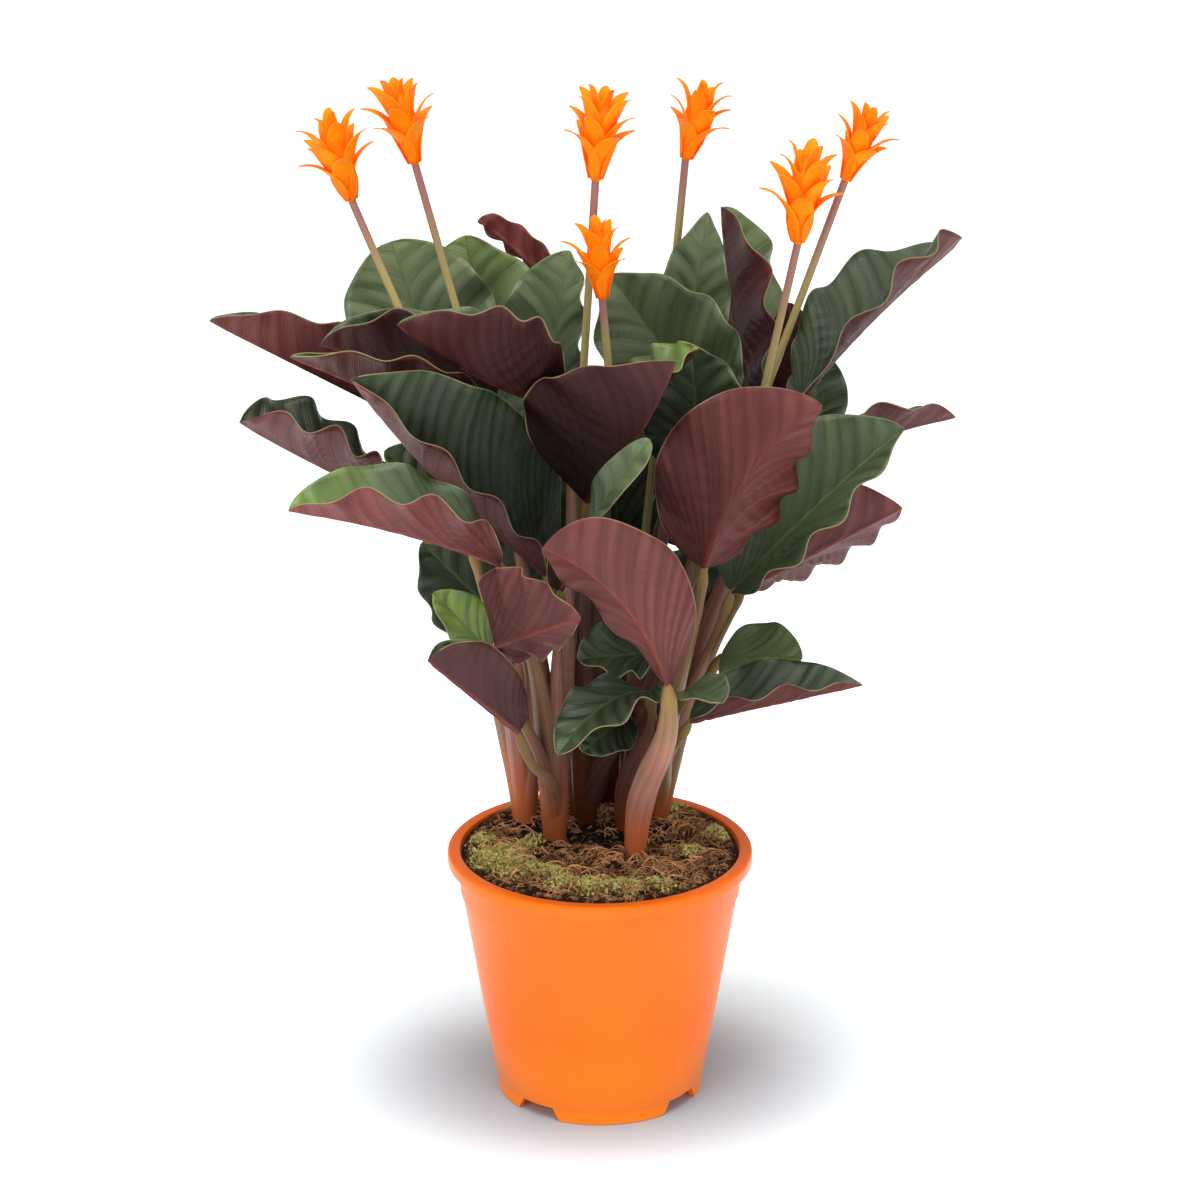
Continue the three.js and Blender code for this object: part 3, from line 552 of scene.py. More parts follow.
def sprig_template():
    """A tuft of pointed moss leaflets, every second one leaning out further."""
    points, faces = [], []
    for i in range(SPRIG_LEAFLETS):
        turn, lean = 2 * math.pi * i / SPRIG_LEAFLETS, 0.35 + 0.12 * (i % 2)
        out = np.array([math.cos(turn), math.sin(turn), 0])
        side = np.array([-math.sin(turn), math.cos(turn), 0])
        waist = 0.9 * lean * out + (0, 0, SPRIG_HEIGHT / 2)
        top = LEAFLET_REACH * lean * out + (0, 0, SPRIG_HEIGHT)
        start = len(points)
        points += [LEAFLET_ROOT * side, -LEAFLET_ROOT * side, waist + LEAFLET_WAIST * side,
                   waist - LEAFLET_WAIST * side, top]
        faces += [[start, start + 2, start + 3, start + 1], [start + 2, start + 4, start + 3]]
    return new_mesh("sprig", np.array(points), faces)


def crumb_template():
    """A rough crumb of peat or bark."""
    crumb = bmesh.new()
    bmesh.ops.create_icosphere(crumb, subdivisions=1, radius=1.0)
    chance = np.random.default_rng(3)
    for corner in crumb.verts:
        corner.co *= chance.uniform(*CRUMB_SIZES) * MM
        corner.co.z *= CRUMB_FLATNESS
    mesh = bpy.data.meshes.new("crumb")
    crumb.to_mesh(mesh)
    crumb.free()
    return mesh


def strewn(surface, template_mesh, number, where, **inputs):
    """Copies of a template over the mix. number is how many there would be if they covered its top."""
    template = bpy.data.objects.new("template", template_mesh)
    density = number / (math.pi * (MIX_EDGE * MM) ** 2)
    made = grown(surface.copy(), strew, Template=template, Number=density, Where=where, **inputs)
    bpy.data.objects.remove(template)
    return made


mix = mix_mesh(mix_material())
new_piece("potting_mix", mix, "soil", "soil")
coir = tinted_material("coir_strand", srgb(72, 28, 16), srgb(250, 188, 128), 0.75)
for i in range(STRAND_PIECES):
    strands = strewn(mix, strand_template(20 + i), STRANDS / (STRAND_PIECES * STRANDS_TOGETHER), 0.0,
                     Reach=11.0, Tilt=0.12, Smallest=0.5, Seed=i, Material=coir)
    new_piece(f"coir_strands_{i + 1}", strands, "soil")
fibre_template = strand_template(23, FIBRE_STATIONS, FIBRE_SIZE)
fibres = strewn(mix, fibre_template, FIBRES / STRANDS_TOGETHER, 0.0, Reach=4.4, Tilt=0.3, Smallest=0.5,
                Seed=7, Material=coir)
new_piece("coir_fibres", fibres, "soil")
peat = tinted_material("peat_crumb", srgb(18, 11, 8), srgb(120, 74, 44), 0.95)
crumbs = strewn(mix, crumb_template(), CRUMBS, 0.0, Reach=2.0, Tilt=0.8, Smallest=0.35, Seed=8,
                Material=peat)
new_piece("peat_crumbs", crumbs, "soil")
moss_green = tinted_material("cushion_moss", srgb(170, 160, 62), srgb(255, 246, 170), 0.9)
sprigs = strewn(mix, sprig_template(), SPRIGS, 1.0, Reach=2.5, Tilt=0.7, Smallest=0.5, Seed=9,
                Material=moss_green)
new_piece("moss_sprigs", sprigs, "soil")

# ------------------------------------------------------------------ where the leaves grow
# Seven shoots stand in the mix. Each long-stalked leaf is one row: its shoot, the two ends of its
# midrib, its halves' widths left and right, the way its upper side faces, how far each half folds
# up, and its waves as count, height and start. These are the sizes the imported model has.

SHOOTS = {
    "front": (16, -4), "left": (-34, 34), "mid": (-20, 12), "c": (-8, 32), "cr": (11, 26),
    "right": (26, 37), "back": (4, 50),
}


def leaf(name, shoot, **sizes):
    """One leaf with the values that most leaves share.

    green and pink are how pale its upper side and its underside are, at the base and at the tip:
    each leaf's own colour, set lower on the inner leaves as painted shade. Its painted shade is how
    dark its left and right halves turn towards the base, and stalk is how maroon its stalk is.
    All are from 0 to 1, but a negative stalk also turns lime towards its top, as a young one does.
    clasp is the sheath's share of the stalk, how late it tapers and how much it swells.
    """
    usual = {"tip_face": None, "bow": [0, 0, 0], "shape": [0.62, 0.72], "swing": [0, 0, 0],
             "sheath": 5.5, "clasp": [0.75, 1, 0.5], "rear": False, "green": [0.1, 0.14],
             "pink": [0.2, 0.25], "dim": [0.35, 0.35], "stalk": 0.9}
    return {**usual, "name": name, "shoot": shoot, **sizes}


LEAVES = [
    leaf("left_far", "left", base=[-71, 55, 298], tip=[-170, -4, 368], half=[30, 22], face=[0.1, 0, 1],
         fold=[62, 58], wave=[4.5, 3, 0.5], green=[0.1, 0.3], pink=[0.35, 0.6], dim=[0.3, 0.3], stalk=1),
    leaf("left_curl", "mid", base=[-46, -12, 311], tip=[-130, -64, 368], half=[28, 15], face=[-0.1, 0, 1],
         fold=[60, 80], wave=[4, 2.5, 2], tip_face=[-0.3, -0.5, 0.8], bow=[0, 0, 2], green=[0.1, 0.6],
         pink=[0.2, 0.35], dim=[0.4, 0.5]),
    leaf("left_dark", "left", base=[-48, 20, 322], tip=[-122, -8, 358], half=[31, 27], face=[0, 0.1, 1],
         fold=[60, 85], wave=[3.5, 4, 1], bow=[0, 0, 3], swing=[0, 10, 0], green=[0.08, 0.2],
         pink=[0.06, 0.15], dim=[0.7, 0.7], stalk=1),
    leaf("left_mid", "mid", base=[-17, -30, 337], tip=[-86, -45, 377], half=[42, 30], face=[0, 0, 1],
         fold=[58, 60], wave=[4, 3.5, 0], bow=[0, 0, -5], swing=[-4, 0, 0], green=[0.1, 0.55],
         pink=[0.1, 0.3], dim=[0.45, 0.45]),
    leaf("back_left", "left", base=[-69, 68, 302], tip=[-95, 74, 385], half=[34, 37],
         face=[0.1, -1, 0.35], fold=[10, 12], wave=[4, 4, 0], bow=[0, -4, 0], shape=[0.62, 0.55],
         green=[0.25, 0.5], pink=[0.1, 0.2], dim=[0.3, 0.3], stalk=0.95),
    leaf("back_left_2", "back", base=[-47, 84, 299], tip=[-62, 90, 384], half=[40, 40],
         face=[-0.2, -1, 0.3], fold=[15, 20], wave=[4, 5, 1], bow=[0, -4, 0], green=[0.35, 0.6],
         pink=[0.2, 0.3], dim=[0.3, 0.3]),
    leaf("top_maroon", "back", base=[-19, 96, 355], tip=[-56, 95, 390], half=[11, 4], face=[0.2, 1, 0.2],
         fold=[8, 30], wave=[4, 2, 0], bow=[1, 0, 1], shape=[0.4, 0.4], green=[0.1, 0.1], pink=[0.7, 0.9],
         dim=[0.1, 0.1]),
    leaf("top_centre", "c", base=[-25, 52, 309], tip=[-14, 48, 387], half=[26, 14], face=[-0.1, -1, 0.5],
         fold=[12, 20], wave=[4, 4, 0], bow=[0, -6, 4], green=[0.3, 0.45], pink=[0.2, 0.2],
         dim=[0.35, 0.35]),
    leaf("left_low", "left", base=[-79, 30, 270], tip=[-160, 10, 318], half=[36, 30], face=[0, -0.15, 1],
         fold=[45, 30], wave=[4, 4.5, 0], bow=[0, 0, -2], shape=[1.1, 0.55], green=[0.02, 0.2],
         pink=[0.3, 0.5], dim=[0.4, 0.3], stalk=0.6),
    leaf("left_bright", "mid", base=[-43, -68, 278], tip=[-129, -104, 313], half=[27, 29], face=[0, 0, 1],
         fold=[46, 60], wave=[3.5, 4, 0], bow=[0, 0, 3], swing=[0, 14, 0], green=[0.05, 0.85],
         pink=[0.5, 0.9], dim=[0.15, 0.1], stalk=0.6),
    leaf("left_inner", "left", base=[-57, -18, 270], tip=[-94, -16, 313], half=[20, 27],
         face=[0, -0.5, 1], fold=[15, 25], wave=[4, 4, 0], green=[0.06, 0.15], pink=[0.1, 0.2],
         dim=[0.6, 0.6]),
    leaf("left_big", "mid", base=[-24, -6, 252], tip=[-104, -74, 361], half=[24, 46], face=[0.2, -1, 0.2],
         fold=[112, 4], wave=[4, 3, 0], bow=[-4, 0, -2], green=[0.02, 0.1], pink=[0.3, 0.55],
         dim=[0.5, 0.6]),
    leaf("centre", "c", base=[-6, -40, 297], tip=[32, -60, 365], half=[38, 50], face=[0.2, 1, 0.3],
         fold=[108, 4], wave=[4, 3, 0], bow=[3, 0, -2], shape=[0.5, 0.88], swing=[9, 14, 0],
         green=[0.1, 0.5], pink=[0.02, 0.25], dim=[0.8, 0.8]),
    leaf("centre_small", "mid", base=[-17, -43, 258], tip=[21, -74, 335], half=[10, 14],
         face=[-0.7, 1, 0.1], fold=[25, 20], wave=[2, 1.5, 0], tip_face=[-0.4, -1, 0.5], bow=[-4, -6, 2],
         shape=[0.45, 0.5], green=[0.2, 0.4], pink=[0.1, 0.35], dim=[0.5, 0.5]),
    leaf("right_front", "right", base=[45, -50, 270], tip=[95, -42, 341], half=[40, 38],
         face=[0.1, 1, 0.1], fold=[50, 10], wave=[4, 3, 0], bow=[-6, 0, 6], shape=[0.66, 0.82],
         green=[0.1, 0.2], pink=[0.5, 0.55], dim=[0.1, 0.6], stalk=0.6),
    leaf("right_green", "right", base=[59, 5, 240], tip=[135, 8, 316], half=[39, 39],
         face=[-0.1, -1, 0.25], fold=[6, 76], wave=[4, 3, 0], bow=[-1, 0, 1], green=[0.15, 0.24],
         pink=[0.4, 0.5], dim=[0.3, 0.3], stalk=0.75),
    leaf("right_tip", "right", base=[87, 46, 282], tip=[162, 52, 308], half=[13, 26], face=[-0.4, 0, 0.9],
         fold=[40, 45], wave=[3, 3, 0], bow=[0, 0, 4], green=[0.1, 0.3], pink=[0.3, 0.4], dim=[0.2, 0.2]),
    leaf("right_low", "right", base=[65, 24, 235], tip=[136, 20, 275], half=[30, 35], face=[0, 1, 0.6],
         fold=[30, 20], wave=[4.5, 2.5, 0], green=[0.1, 0.2], pink=[0.4, 0.5], dim=[0.1, 0.1], stalk=0.7),
    leaf("right_far", "right", base=[90, 28, 324], tip=[165, 112, 373], half=[34, 39],
         face=[-0.6, -0.55, 0.55], fold=[18, 46], wave=[3.5, 4, 0], bow=[-2, 0, 2], shape=[0.85, 0.62],
         swing=[0, 26, 0], green=[0.03, 0.16], pink=[0.3, 0.5], dim=[0.25, 0.4]),
    leaf("upper_green", "cr", base=[36, 48, 317], tip=[48, 50, 404], half=[20, 17], face=[0.1, -1, 0.2],
         fold=[8, 15], wave=[4, 3, 0], shape=[0.62, 0.85], green=[0.3, 0.42], pink=[0.1, 0.2],
         dim=[0.35, 0.35]),
    leaf("upper_fold", "cr", base=[66, 76, 300], tip=[55, 78, 400], half=[32, 28], face=[1, 0, 0.1],
         fold=[34, 54], wave=[3.5, 4, 0], shape=[0.9, 0.62], swing=[-4, 8, 0], green=[0.4, 0.55],
         pink=[0.3, 0.4], dim=[0.5, 0.4]),
    leaf("upper_back", "back", base=[93, 100, 283], tip=[88, 103, 349], half=[16, 26], face=[0.2, 1, 0.2],
         fold=[10, 10], wave=[4, 4, 0], green=[0.1, 0.1], pink=[0.15, 0.2], dim=[0.7, 0.7]),
    leaf("centre_green", "cr", base=[53, 37, 309], tip=[4, 35, 379], half=[33, 33], face=[0.1, -1, 0.3],
         fold=[20, 25], wave=[4, 4, 0], green=[0.25, 0.38], pink=[0.1, 0.1], dim=[0.5, 0.5]),
    leaf("centre_green_2", "cr", base=[45, 10, 291], tip=[40, 8, 354], half=[25, 25], face=[0, -1, 0.2],
         fold=[10, 10], wave=[4, 4, 0], green=[0.03, 0.08], pink=[0.1, 0.1], dim=[0.75, 0.75]),
    leaf("centre_tip", "c", base=[9, 2, 318], tip=[43, -10, 357], half=[20, 20], face=[-0.5, -0.2, 0.8],
         fold=[30, 30], wave=[4, 4, 0], green=[0.3, 0.8], pink=[0.2, 0.3], dim=[0.3, 0.3]),
    leaf("right_small", "back", base=[93, 84, 288], tip=[106, 88, 327], half=[16, 16],
         face=[0.2, -1, 0.3], fold=[10, 10], wave=[3, 2, 0], green=[0.15, 0.25], pink=[0.2, 0.2],
         dim=[0.3, 0.3]),
    leaf("front_low", "front", base=[29, -76, 226], tip=[-24, -98, 295], half=[31, 12],
         face=[0.1, 1, 0.1], fold=[8, 14], wave=[2.5, 3, 1.2], bow=[6, 0, 7], shape=[0.78, 0.6],
         sheath=6.4, clasp=[1, 3, 0], green=[0.1, 0.2], pink=[0.5, 0.55], dim=[0, 0], stalk=0.8),
    leaf("front_left", "mid", base=[-44, -74, 243], tip=[-8, -114, 270], half=[14, 32],
         face=[0.1, 1, -0.1], fold=[25, 15], wave=[4, 3, 0], shape=[0.3, 0.9], swing=[0, 14, 0],
         sheath=3.2, green=[0.1, 0.2], pink=[0.4, 0.45], dim=[0.1, 0.1], stalk=-0.8),
    leaf("young_left", "mid", base=[-48, -66, 237], tip=[-71, -74, 267], half=[9, 13],
         face=[0.3, -1, 0.5], fold=[15, 10], wave=[2, 1.5, 0], swing=[0, 12, 0], sheath=3,
         green=[0.6, 0.75], pink=[0.3, 0.3], dim=[0, 0], stalk=-0.8),
    leaf("low_left", "mid", base=[-35, -84, 207], tip=[-72, -112, 250], half=[22, 18],
         face=[0.6, 0.3, 0.8], fold=[80, 70], wave=[2, 2, 0], shape=[0.5, 0.35], sheath=3.4,
         green=[0.05, 0.1], pink=[0.15, 0.22], dim=[0.1, 0.1], stalk=0.6),
    leaf("left_under", "left", base=[-36, 15, 214], tip=[-80, 10, 262], half=[23, 33],
         face=[0.1, -1, 0.5], fold=[10, 10], wave=[4, 4, 0], green=[0.02, 0.05], pink=[0.1, 0.1],
         dim=[0.75, 0.75], stalk=1),
    leaf("low_centre", "cr", base=[21, -44, 210], tip=[-18, -95, 201], half=[23, 15],
         face=[-0.3, -0.6, 0.8], fold=[25, 15], wave=[3, 3, 0], bow=[0, 0, 8], green=[0.03, 0.06],
         pink=[0.3, 0.3], dim=[0.45, 0.45]),
    leaf("low_centre_2", "c", base=[23, -12, 217], tip=[-10, -28, 220], half=[17, 17],
         face=[0, -0.5, 0.9], fold=[15, 15], wave=[3, 2.5, 0], green=[0.04, 0.06], pink=[0.2, 0.2],
         dim=[0.6, 0.6]),
    leaf("low_back", "c", base=[12, -2, 184], tip=[-8, -28, 176], half=[14, 14], face=[0, -0.7, 0.6],
         fold=[10, 10], wave=[2, 1.5, 0], green=[0.03, 0.05], pink=[0.2, 0.2], dim=[0.75, 0.75]),
    leaf("low_mid", "cr", base=[38, -52, 214], tip=[53, -80, 219], half=[13, 13], face=[0, -0.5, 0.9],
         fold=[25, 25], wave=[2, 1, 0], green=[0.22, 0.25], pink=[0.4, 0.4], dim=[0.1, 0.1], stalk=0.4),
    leaf("low_oval", "right", base=[55, 12, 207], tip=[91, -4, 212], half=[18, 27], face=[0, -0.6, 0.8],
         fold=[10, 10], wave=[2, 2, 0], green=[0.45, 0.5], pink=[0.3, 0.3], dim=[0.1, 0.1], stalk=0.4),
    leaf("low_right", "right", base=[40, -32, 192], tip=[116, -34, 210], half=[21, 9], face=[0, -0.3, 1],
         fold=[40, 75], wave=[3, 3, 0], shape=[0.62, 0.85], green=[0.04, 0.08], pink=[0.4, 0.45],
         dim=[0.3, 0.3], stalk=0.5),
    leaf("rear_high_left", "back", base=[-50, 106, 306], tip=[-98, 111, 372], half=[31, 31],
         face=[0.3, -1, 0.3], fold=[12, 12], wave=[3, 4, 0], swing=[0, -14, 0], rear=True, dim=[0.5, 0.5]),
    leaf("rear_high_right", "back", base=[42, 109, 312], tip=[58, 114, 374], half=[25, 25],
         face=[-0.3, -1, 0.3], fold=[12, 12], wave=[3, 4, 0], swing=[0, -14, 0], rear=True, dim=[0.5, 0.5]),
    leaf("rear_centre", "back", base=[8, 94, 226], tip=[8, 98, 326], half=[20, 20], face=[0, -1, 0.3],
         fold=[20, 20], wave=[3, 4, 0], rear=True, green=[0.02, 0.03], pink=[0.05, 0.05], dim=[0.85, 0.85]),
    leaf("rear_mid_left", "back", base=[-6, 102, 230], tip=[-74, 111, 300], half=[22, 30],
         face=[0.2, -0.8, 0.6], fold=[20, 20], wave=[3, 4, 0], rear=True, dim=[0.8, 0.8]),
    leaf("rear_mid_right", "back", base=[24, 98, 238], tip=[80, 112, 284], half=[33, 33],
         face=[-0.2, -0.8, 0.6], fold=[20, 20], wave=[3, 4, 0], rear=True, dim=[0.6, 0.6]),
    leaf("rear_low_left", "back", base=[-16, 94, 196], tip=[-66, 108, 230], half=[29, 29],
         face=[0.2, -0.6, 0.8], fold=[20, 20], wave=[3, 4, 0], rear=True, dim=[0.5, 0.5]),
    leaf("rear_low_right", "back", base=[24, 94, 192], tip=[62, 112, 218], half=[26, 26],
         face=[-0.2, -0.6, 0.8], fold=[20, 20], wave=[3, 4, 0], rear=True, dim=[0.5, 0.5]),
]


def unit(vectors):
    """The same directions at length 1."""
    return vectors / np.linalg.norm(vectors, axis=-1, keepdims=True)


def midrib_at(row, t):
    """Points and directions along a leaf's midrib."""
    base, tip = np.array(row["base"], float), np.array(row["tip"], float)
    control = (base + tip) / 2 + 2 * np.array(row["bow"])
    points = (1 - t) ** 2 * base + 2 * t * (1 - t) * control + t ** 2 * tip
    return points, unit(2 * (1 - t) * (control - base) + 2 * t * (tip - control))


# ------------------------------------------------------------------ the leaf blades
# Thin pleated blades, green above and maroon below, with a pale edge. Each grows from the end of its
# stalk. A rib runs down the middle of its underside, and a pleat lies between each two side veins.

BLADE_THICKNESS = 0.5
BLADE_ROWS, BLADE_COLUMNS = 72, 10
REAR_ROWS, REAR_COLUMNS = 40, 6
WAVE_LAG, WAVE_OFFSET = 0.16, 1.3
PLEAT_SPACING, PLEAT_DEPTH, FEWEST_PLEATS = 12.0, 1.0, 4
PLEAT_LEAN, MOST_LEAN = 3.4, 2.0  # how far the side veins run on towards the tip
MIDDLE_PLEAT, PLEAT_SWING = 0.55, 0.45  # a pleat's share of the full depth, and how that varies
RIB_RADIUS, RIB_END_RADIUS, RIB_FADE = 1.3, 0.4, 14
WAVE_ONSET, PLEAT_ONSET = 1.2, 1.5  # how soon they reach their full depth as a blade widens
MIDRIB_CROWDING = 1.35  # draws a blade's columns in towards its midrib
# The last of these is how the painted shade fades towards a blade's tip.
LATE_GREEN, HALVES_MEET, PAINTED_SHADE_FALL = 1.5, 0.15, 0.7  # how a blade's tones run along and across it


def blade_points(row, t, s):
    """Points over a blade, t from base to tip down the rows and s from its left edge to its right."""
    middle, along = midrib_at(row, t[:, None])
    face = unit(np.array(row["face"], float))
    tip_face = unit(np.array(row["tip_face"] or row["face"], float))
    up = (1 - t[:, None]) * face + t[:, None] * tip_face
    up = unit(up - (up * along).sum(1, keepdims=True) * along)
    right = np.cross(along, up)
    rise, fall = row["shape"]
    widest = rise / (rise + fall)
    outline = (t ** rise * (1 - t) ** fall / (widest ** rise * (1 - widest) ** fall))[:, None]
    share, side = np.abs(s), np.sign(s)
    half = np.where(s > 0, row["half"][1], row["half"][0])
    fold = np.radians(np.where(s > 0, row["fold"][1], row["fold"][0]))
    count, height, start = row["wave"]
    turn = 2 * np.pi * count * (t[:, None] - WAVE_LAG * share) + start + np.where(s > 0, 0, WAVE_OFFSET)
    wave = height * share ** 2 * np.sin(turn) * np.minimum(1, WAVE_ONSET * outline)
    length = np.linalg.norm(np.array(row["tip"], float) - row["base"])
    pleats = max(FEWEST_PLEATS, round(length / PLEAT_SPACING))
    lean = np.minimum(PLEAT_LEAN * half / length, MOST_LEAN) * share ** 0.9
    phase = pleats * (t[:, None] - lean * (1 - t[:, None])) + np.where(s > 0, 0, 0.5)
    uneven = MIDDLE_PLEAT + PLEAT_SWING * np.sin(1.7 * phase + 3.1 * start + 2 * (s > 0))
    depth = PLEAT_DEPTH * uneven * np.sin(np.pi * share ** 0.8) * np.minimum(1, PLEAT_ONSET * outline)
    wave = wave - depth * np.cos(2 * np.pi * phase)
    reach = half * outline * share
    points = (middle[:, None]
              + right[:, None] * (side * (reach * np.cos(fold) - wave * np.sin(fold)))[..., None]
              + up[:, None] * (reach * np.sin(fold) + wave * np.cos(fold))[..., None])
    return points, up, phase, reach


def blade_mesh(row, index, material):
    """A closed blade: the upper skin, the underside with its rib, and the edge between them."""
    rows, columns = (REAR_ROWS, REAR_COLUMNS) if row["rear"] else (BLADE_ROWS, BLADE_COLUMNS)
    steps = np.linspace(0, 1, rows + 1)
    t = 0.5 * steps + 0.25 * (1 - np.cos(np.pi * steps))
    j = np.arange(-columns, columns + 1) / columns
    s = np.sign(j) * np.abs(j) ** MIDRIB_CROWDING
    surface, up, phase, reach = blade_points(row, t, s)
    normal = np.cross(np.gradient(surface, axis=1), np.gradient(surface, axis=0))
    normal[[0, -1]] = up[[0, -1], None]
    normal = unit(normal)
    rib = RIB_RADIUS + (RIB_END_RADIUS - RIB_RADIUS) * t[:, None]
    under = BLADE_THICKNESS / 2
    under = under + rib * np.exp(-(reach / rib) ** 2) * np.minimum(1, RIB_FADE * (1 - t[:, None]))
    skins = [surface + normal * BLADE_THICKNESS / 2, surface - normal * under[..., None]]
    points, values = [], []
    chance = np.random.default_rng(index).uniform()
    green = np.interp(t ** LATE_GREEN, (0, 1), row["green"])
    pink = np.interp(t, (0, 1), row["pink"])
    # Painted shade: darkest at the base and gone at the tip, as inside the plant.
    dim = np.interp(s, (-HALVES_MEET, HALVES_MEET), row["dim"]) * (1 - t[:, None]) ** PAINTED_SHADE_FALL
    for side, skin in zip((1, -1), skins):
        for i in range(rows + 1):
            spots = [columns] if i in (0, rows) else range(2 * columns + 1)
            for k in spots:
                points.append(skin[i, k])
                values.append((t[i], s[k], side, phase[i, k], reach[i, k], chance,
                               green[i], pink[i], dim[i, k]))
    points, values = np.array(points), np.array(values)
    across, count = 2 * columns + 1, len(points) // 2

    def at(skin, i, k):
        """The number of a skin's point. The first and the last row are one point each."""
        inner = 0 if i == 0 else count - 1 if i == rows else 1 + (i - 1) * across + k
        return skin * count + inner

    faces = []
    for i in range(rows):
        for k in range(2 * columns):
            upper = [at(0, i, k), at(0, i, k + 1), at(0, i + 1, k + 1), at(0, i + 1, k)]
            lower = [at(1, i, k), at(1, i + 1, k), at(1, i + 1, k + 1), at(1, i, k + 1)]
            faces += [list(dict.fromkeys(upper)), list(dict.fromkeys(lower))]
        left = [at(0, i, 0), at(0, i + 1, 0), at(1, i + 1, 0), at(1, i, 0)]
        last = 2 * columns
        right = [at(0, i + 1, last), at(0, i, last), at(1, i, last), at(1, i + 1, last)]
        faces += [left, right]
    return new_mesh(f"blade_{row['name']}", points, faces, material,
                    blade=values[:, :3], vein=values[:, 3:6], tone=values[:, 6:])


def vein_group():
    """The markings of a blade, from where a point lies on it.

    Blade is the share along it, the share aside from -1 to 1, and the side. Vein counts the side
    veins passed, the millimetres from the midrib, and the leaf's own random number.
    """
    tree, given, result = new_group(
        "leaf_veins", {"Blade": "Vector", "Vein": "Vector"},
        {"Top": "Float", "Midrib": "Float", "Veins": "Float", "Band": "Float", "Lines": "Float",
         "Streaks": "Float", "Edge": "Float"},
    )
    along, aside, side = split(tree, given["Blade"])
    phase, reach, chance = split(tree, given["Vein"])
    share = calculate(tree, "ABSOLUTE", aside)
    turn = calculate(tree, "MULTIPLY", phase, 2 * math.pi)
    fine_turn = calculate(tree, "MULTIPLY", turn, 7.0)
    band, lines = (calculate(tree, "MULTIPLY_ADD", calculate(tree, "COSINE", angle), 0.5, 0.5)
                   for angle in (turn, fine_turn))
    spot = combined(tree, phase, calculate(tree, "MULTIPLY", share, 0.5),
                    calculate(tree, "MULTIPLY", chance, 50.0))
    rib = calculate(tree, "DIVIDE", reach, calculate(tree, "MULTIPLY_ADD", along, -0.9, 1.5))
    marks = {
        "Top": fade(tree, side, -0.2, 0.2),
        "Midrib": calculate(tree, "SUBTRACT", 1.0, fade(tree, rib, 0.5, 1.1)),
        "Veins": calculate(tree, "POWER", band, 10.0),
        "Band": band,
        "Lines": lines,
        "Streaks": fade(tree, noise(tree, spot, 1.1, 3.0), 0.3, 0.7),
        "Edge": fade(tree, share, 0.98, 1.0),
    }
    for name, value in marks.items():
        tree.links.new(value, result[name])
    return tree


def blade_material():
    """Green above and maroon below, by the tones that each blade carries, with painted pleat shading and
    painted shade towards the bases.
    """
    material, tree, shader = new_material("calathea_leaf")
    blade, vein, tone = (carried(tree, name, "Vector") for name in ("blade", "vein", "tone"))
    marks = node(tree, "ShaderNodeGroup", {"Blade": blade, "Vein": vein}, node_tree=vein_group()).outputs
    green, pink, dim = split(tree, tone)
    patches, grain = mottled(tree, 55.0, 700.0)
    streaks = marks["Streaks"]
    valley = calculate(tree, "SUBTRACT", 1.0, marks["Band"])
    top = blend(tree, green, srgb(7, 14, 8), srgb(128, 146, 104))
    top = blend(tree, fade(tree, green, 0.35, 0.85), top, srgb(142, 168, 56))
    top = laid(tree, top, srgb(52, 64, 44), patches, 0.22)
    top = laid(tree, top, srgb(18, 28, 16), marks["Veins"], 0.14)
    # Lighter bands between the veins and pale streaks: partly the leaf's own stripes and partly painted
    # pleat shading and sheen.
    top = laid(tree, top, srgb(116, 136, 96), valley, 0.12)
    top = laid(tree, top, srgb(128, 148, 104), streaks, calculate(tree, "MULTIPLY_ADD", green, 0.5, 0.14))
    young = calculate(tree, "MULTIPLY", streaks, fade(tree, green, 0.4, 0.8))
    top = laid(tree, top, srgb(52, 80, 30), young, 0.7)
    top = laid(tree, top, srgb(96, 116, 60), marks["Midrib"], 0.5)
    under = blend(tree, pink, srgb(16, 5, 6), srgb(140, 68, 66))
    under = laid(tree, under, srgb(58, 26, 24), patches, 0.25)
    # Painted pleat shading: darker streaks and pale crests between the veins.
    under = laid(tree, under, srgb(70, 31, 30), streaks, 0.4)
    painted_crest_light = calculate(tree, "MULTIPLY", valley, calculate(tree, "SUBTRACT", 1.0, streaks))
    under = laid(tree, under, srgb(168, 108, 104), painted_crest_light, calculate(tree, "MULTIPLY", pink, 0.3))
    under = laid(tree, under, srgb(44, 12, 14), marks["Veins"], 0.15)
    under = laid(tree, under, srgb(132, 56, 46), marks["Midrib"], 0.5)
    # Painted shade: the colour turns nearly black where the painted shade is.
    skin = blend(tree, dim, blend(tree, marks["Top"], under, top), srgb(7, 5, 4))
    rim = blend(tree, marks["Top"], srgb(164, 130, 98), srgb(136, 146, 92))
    tree.links.new(laid(tree, skin, rim, marks["Edge"], 0.6), shader.inputs["Base Color"])
    gloss = blend_number(tree, marks["Top"], 0.44, 0.3)
    tree.links.new(calculate(tree, "MULTIPLY_ADD", grain, 0.12, gloss), shader.inputs["Roughness"])
    # Less gloss where the painted shade is.
    shine = blend_number(tree, marks["Top"], 0.28, 0.42)
    tree.links.new(calculate(tree, "MULTIPLY", shine, calculate(tree, "SUBTRACT", 1.0, dim)),
                   shader.inputs["Specular IOR Level"])
    relief = calculate(tree, "MULTIPLY_ADD", marks["Lines"], 0.5, calculate(tree, "MULTIPLY", grain, 0.35))
    bumped(tree, shader, calculate(tree, "SUBTRACT", relief, marks["Veins"]), 0.00012)
    return material


leaf_skin = blade_material()
for index, row in enumerate(LEAVES):
    new_piece(f"blade_{row['name']}", blade_mesh(row, index, leaf_skin), "leaf", f"leaf_{row['name']}")

# ------------------------------------------------------------------ the shoots
# Each shoot is a short crown in the mix with its leaf stalks and flower stems. A leaf stalk clasps
# the crown as a thick sheath, thins out upwards and ends in a short swollen joint at its blade.

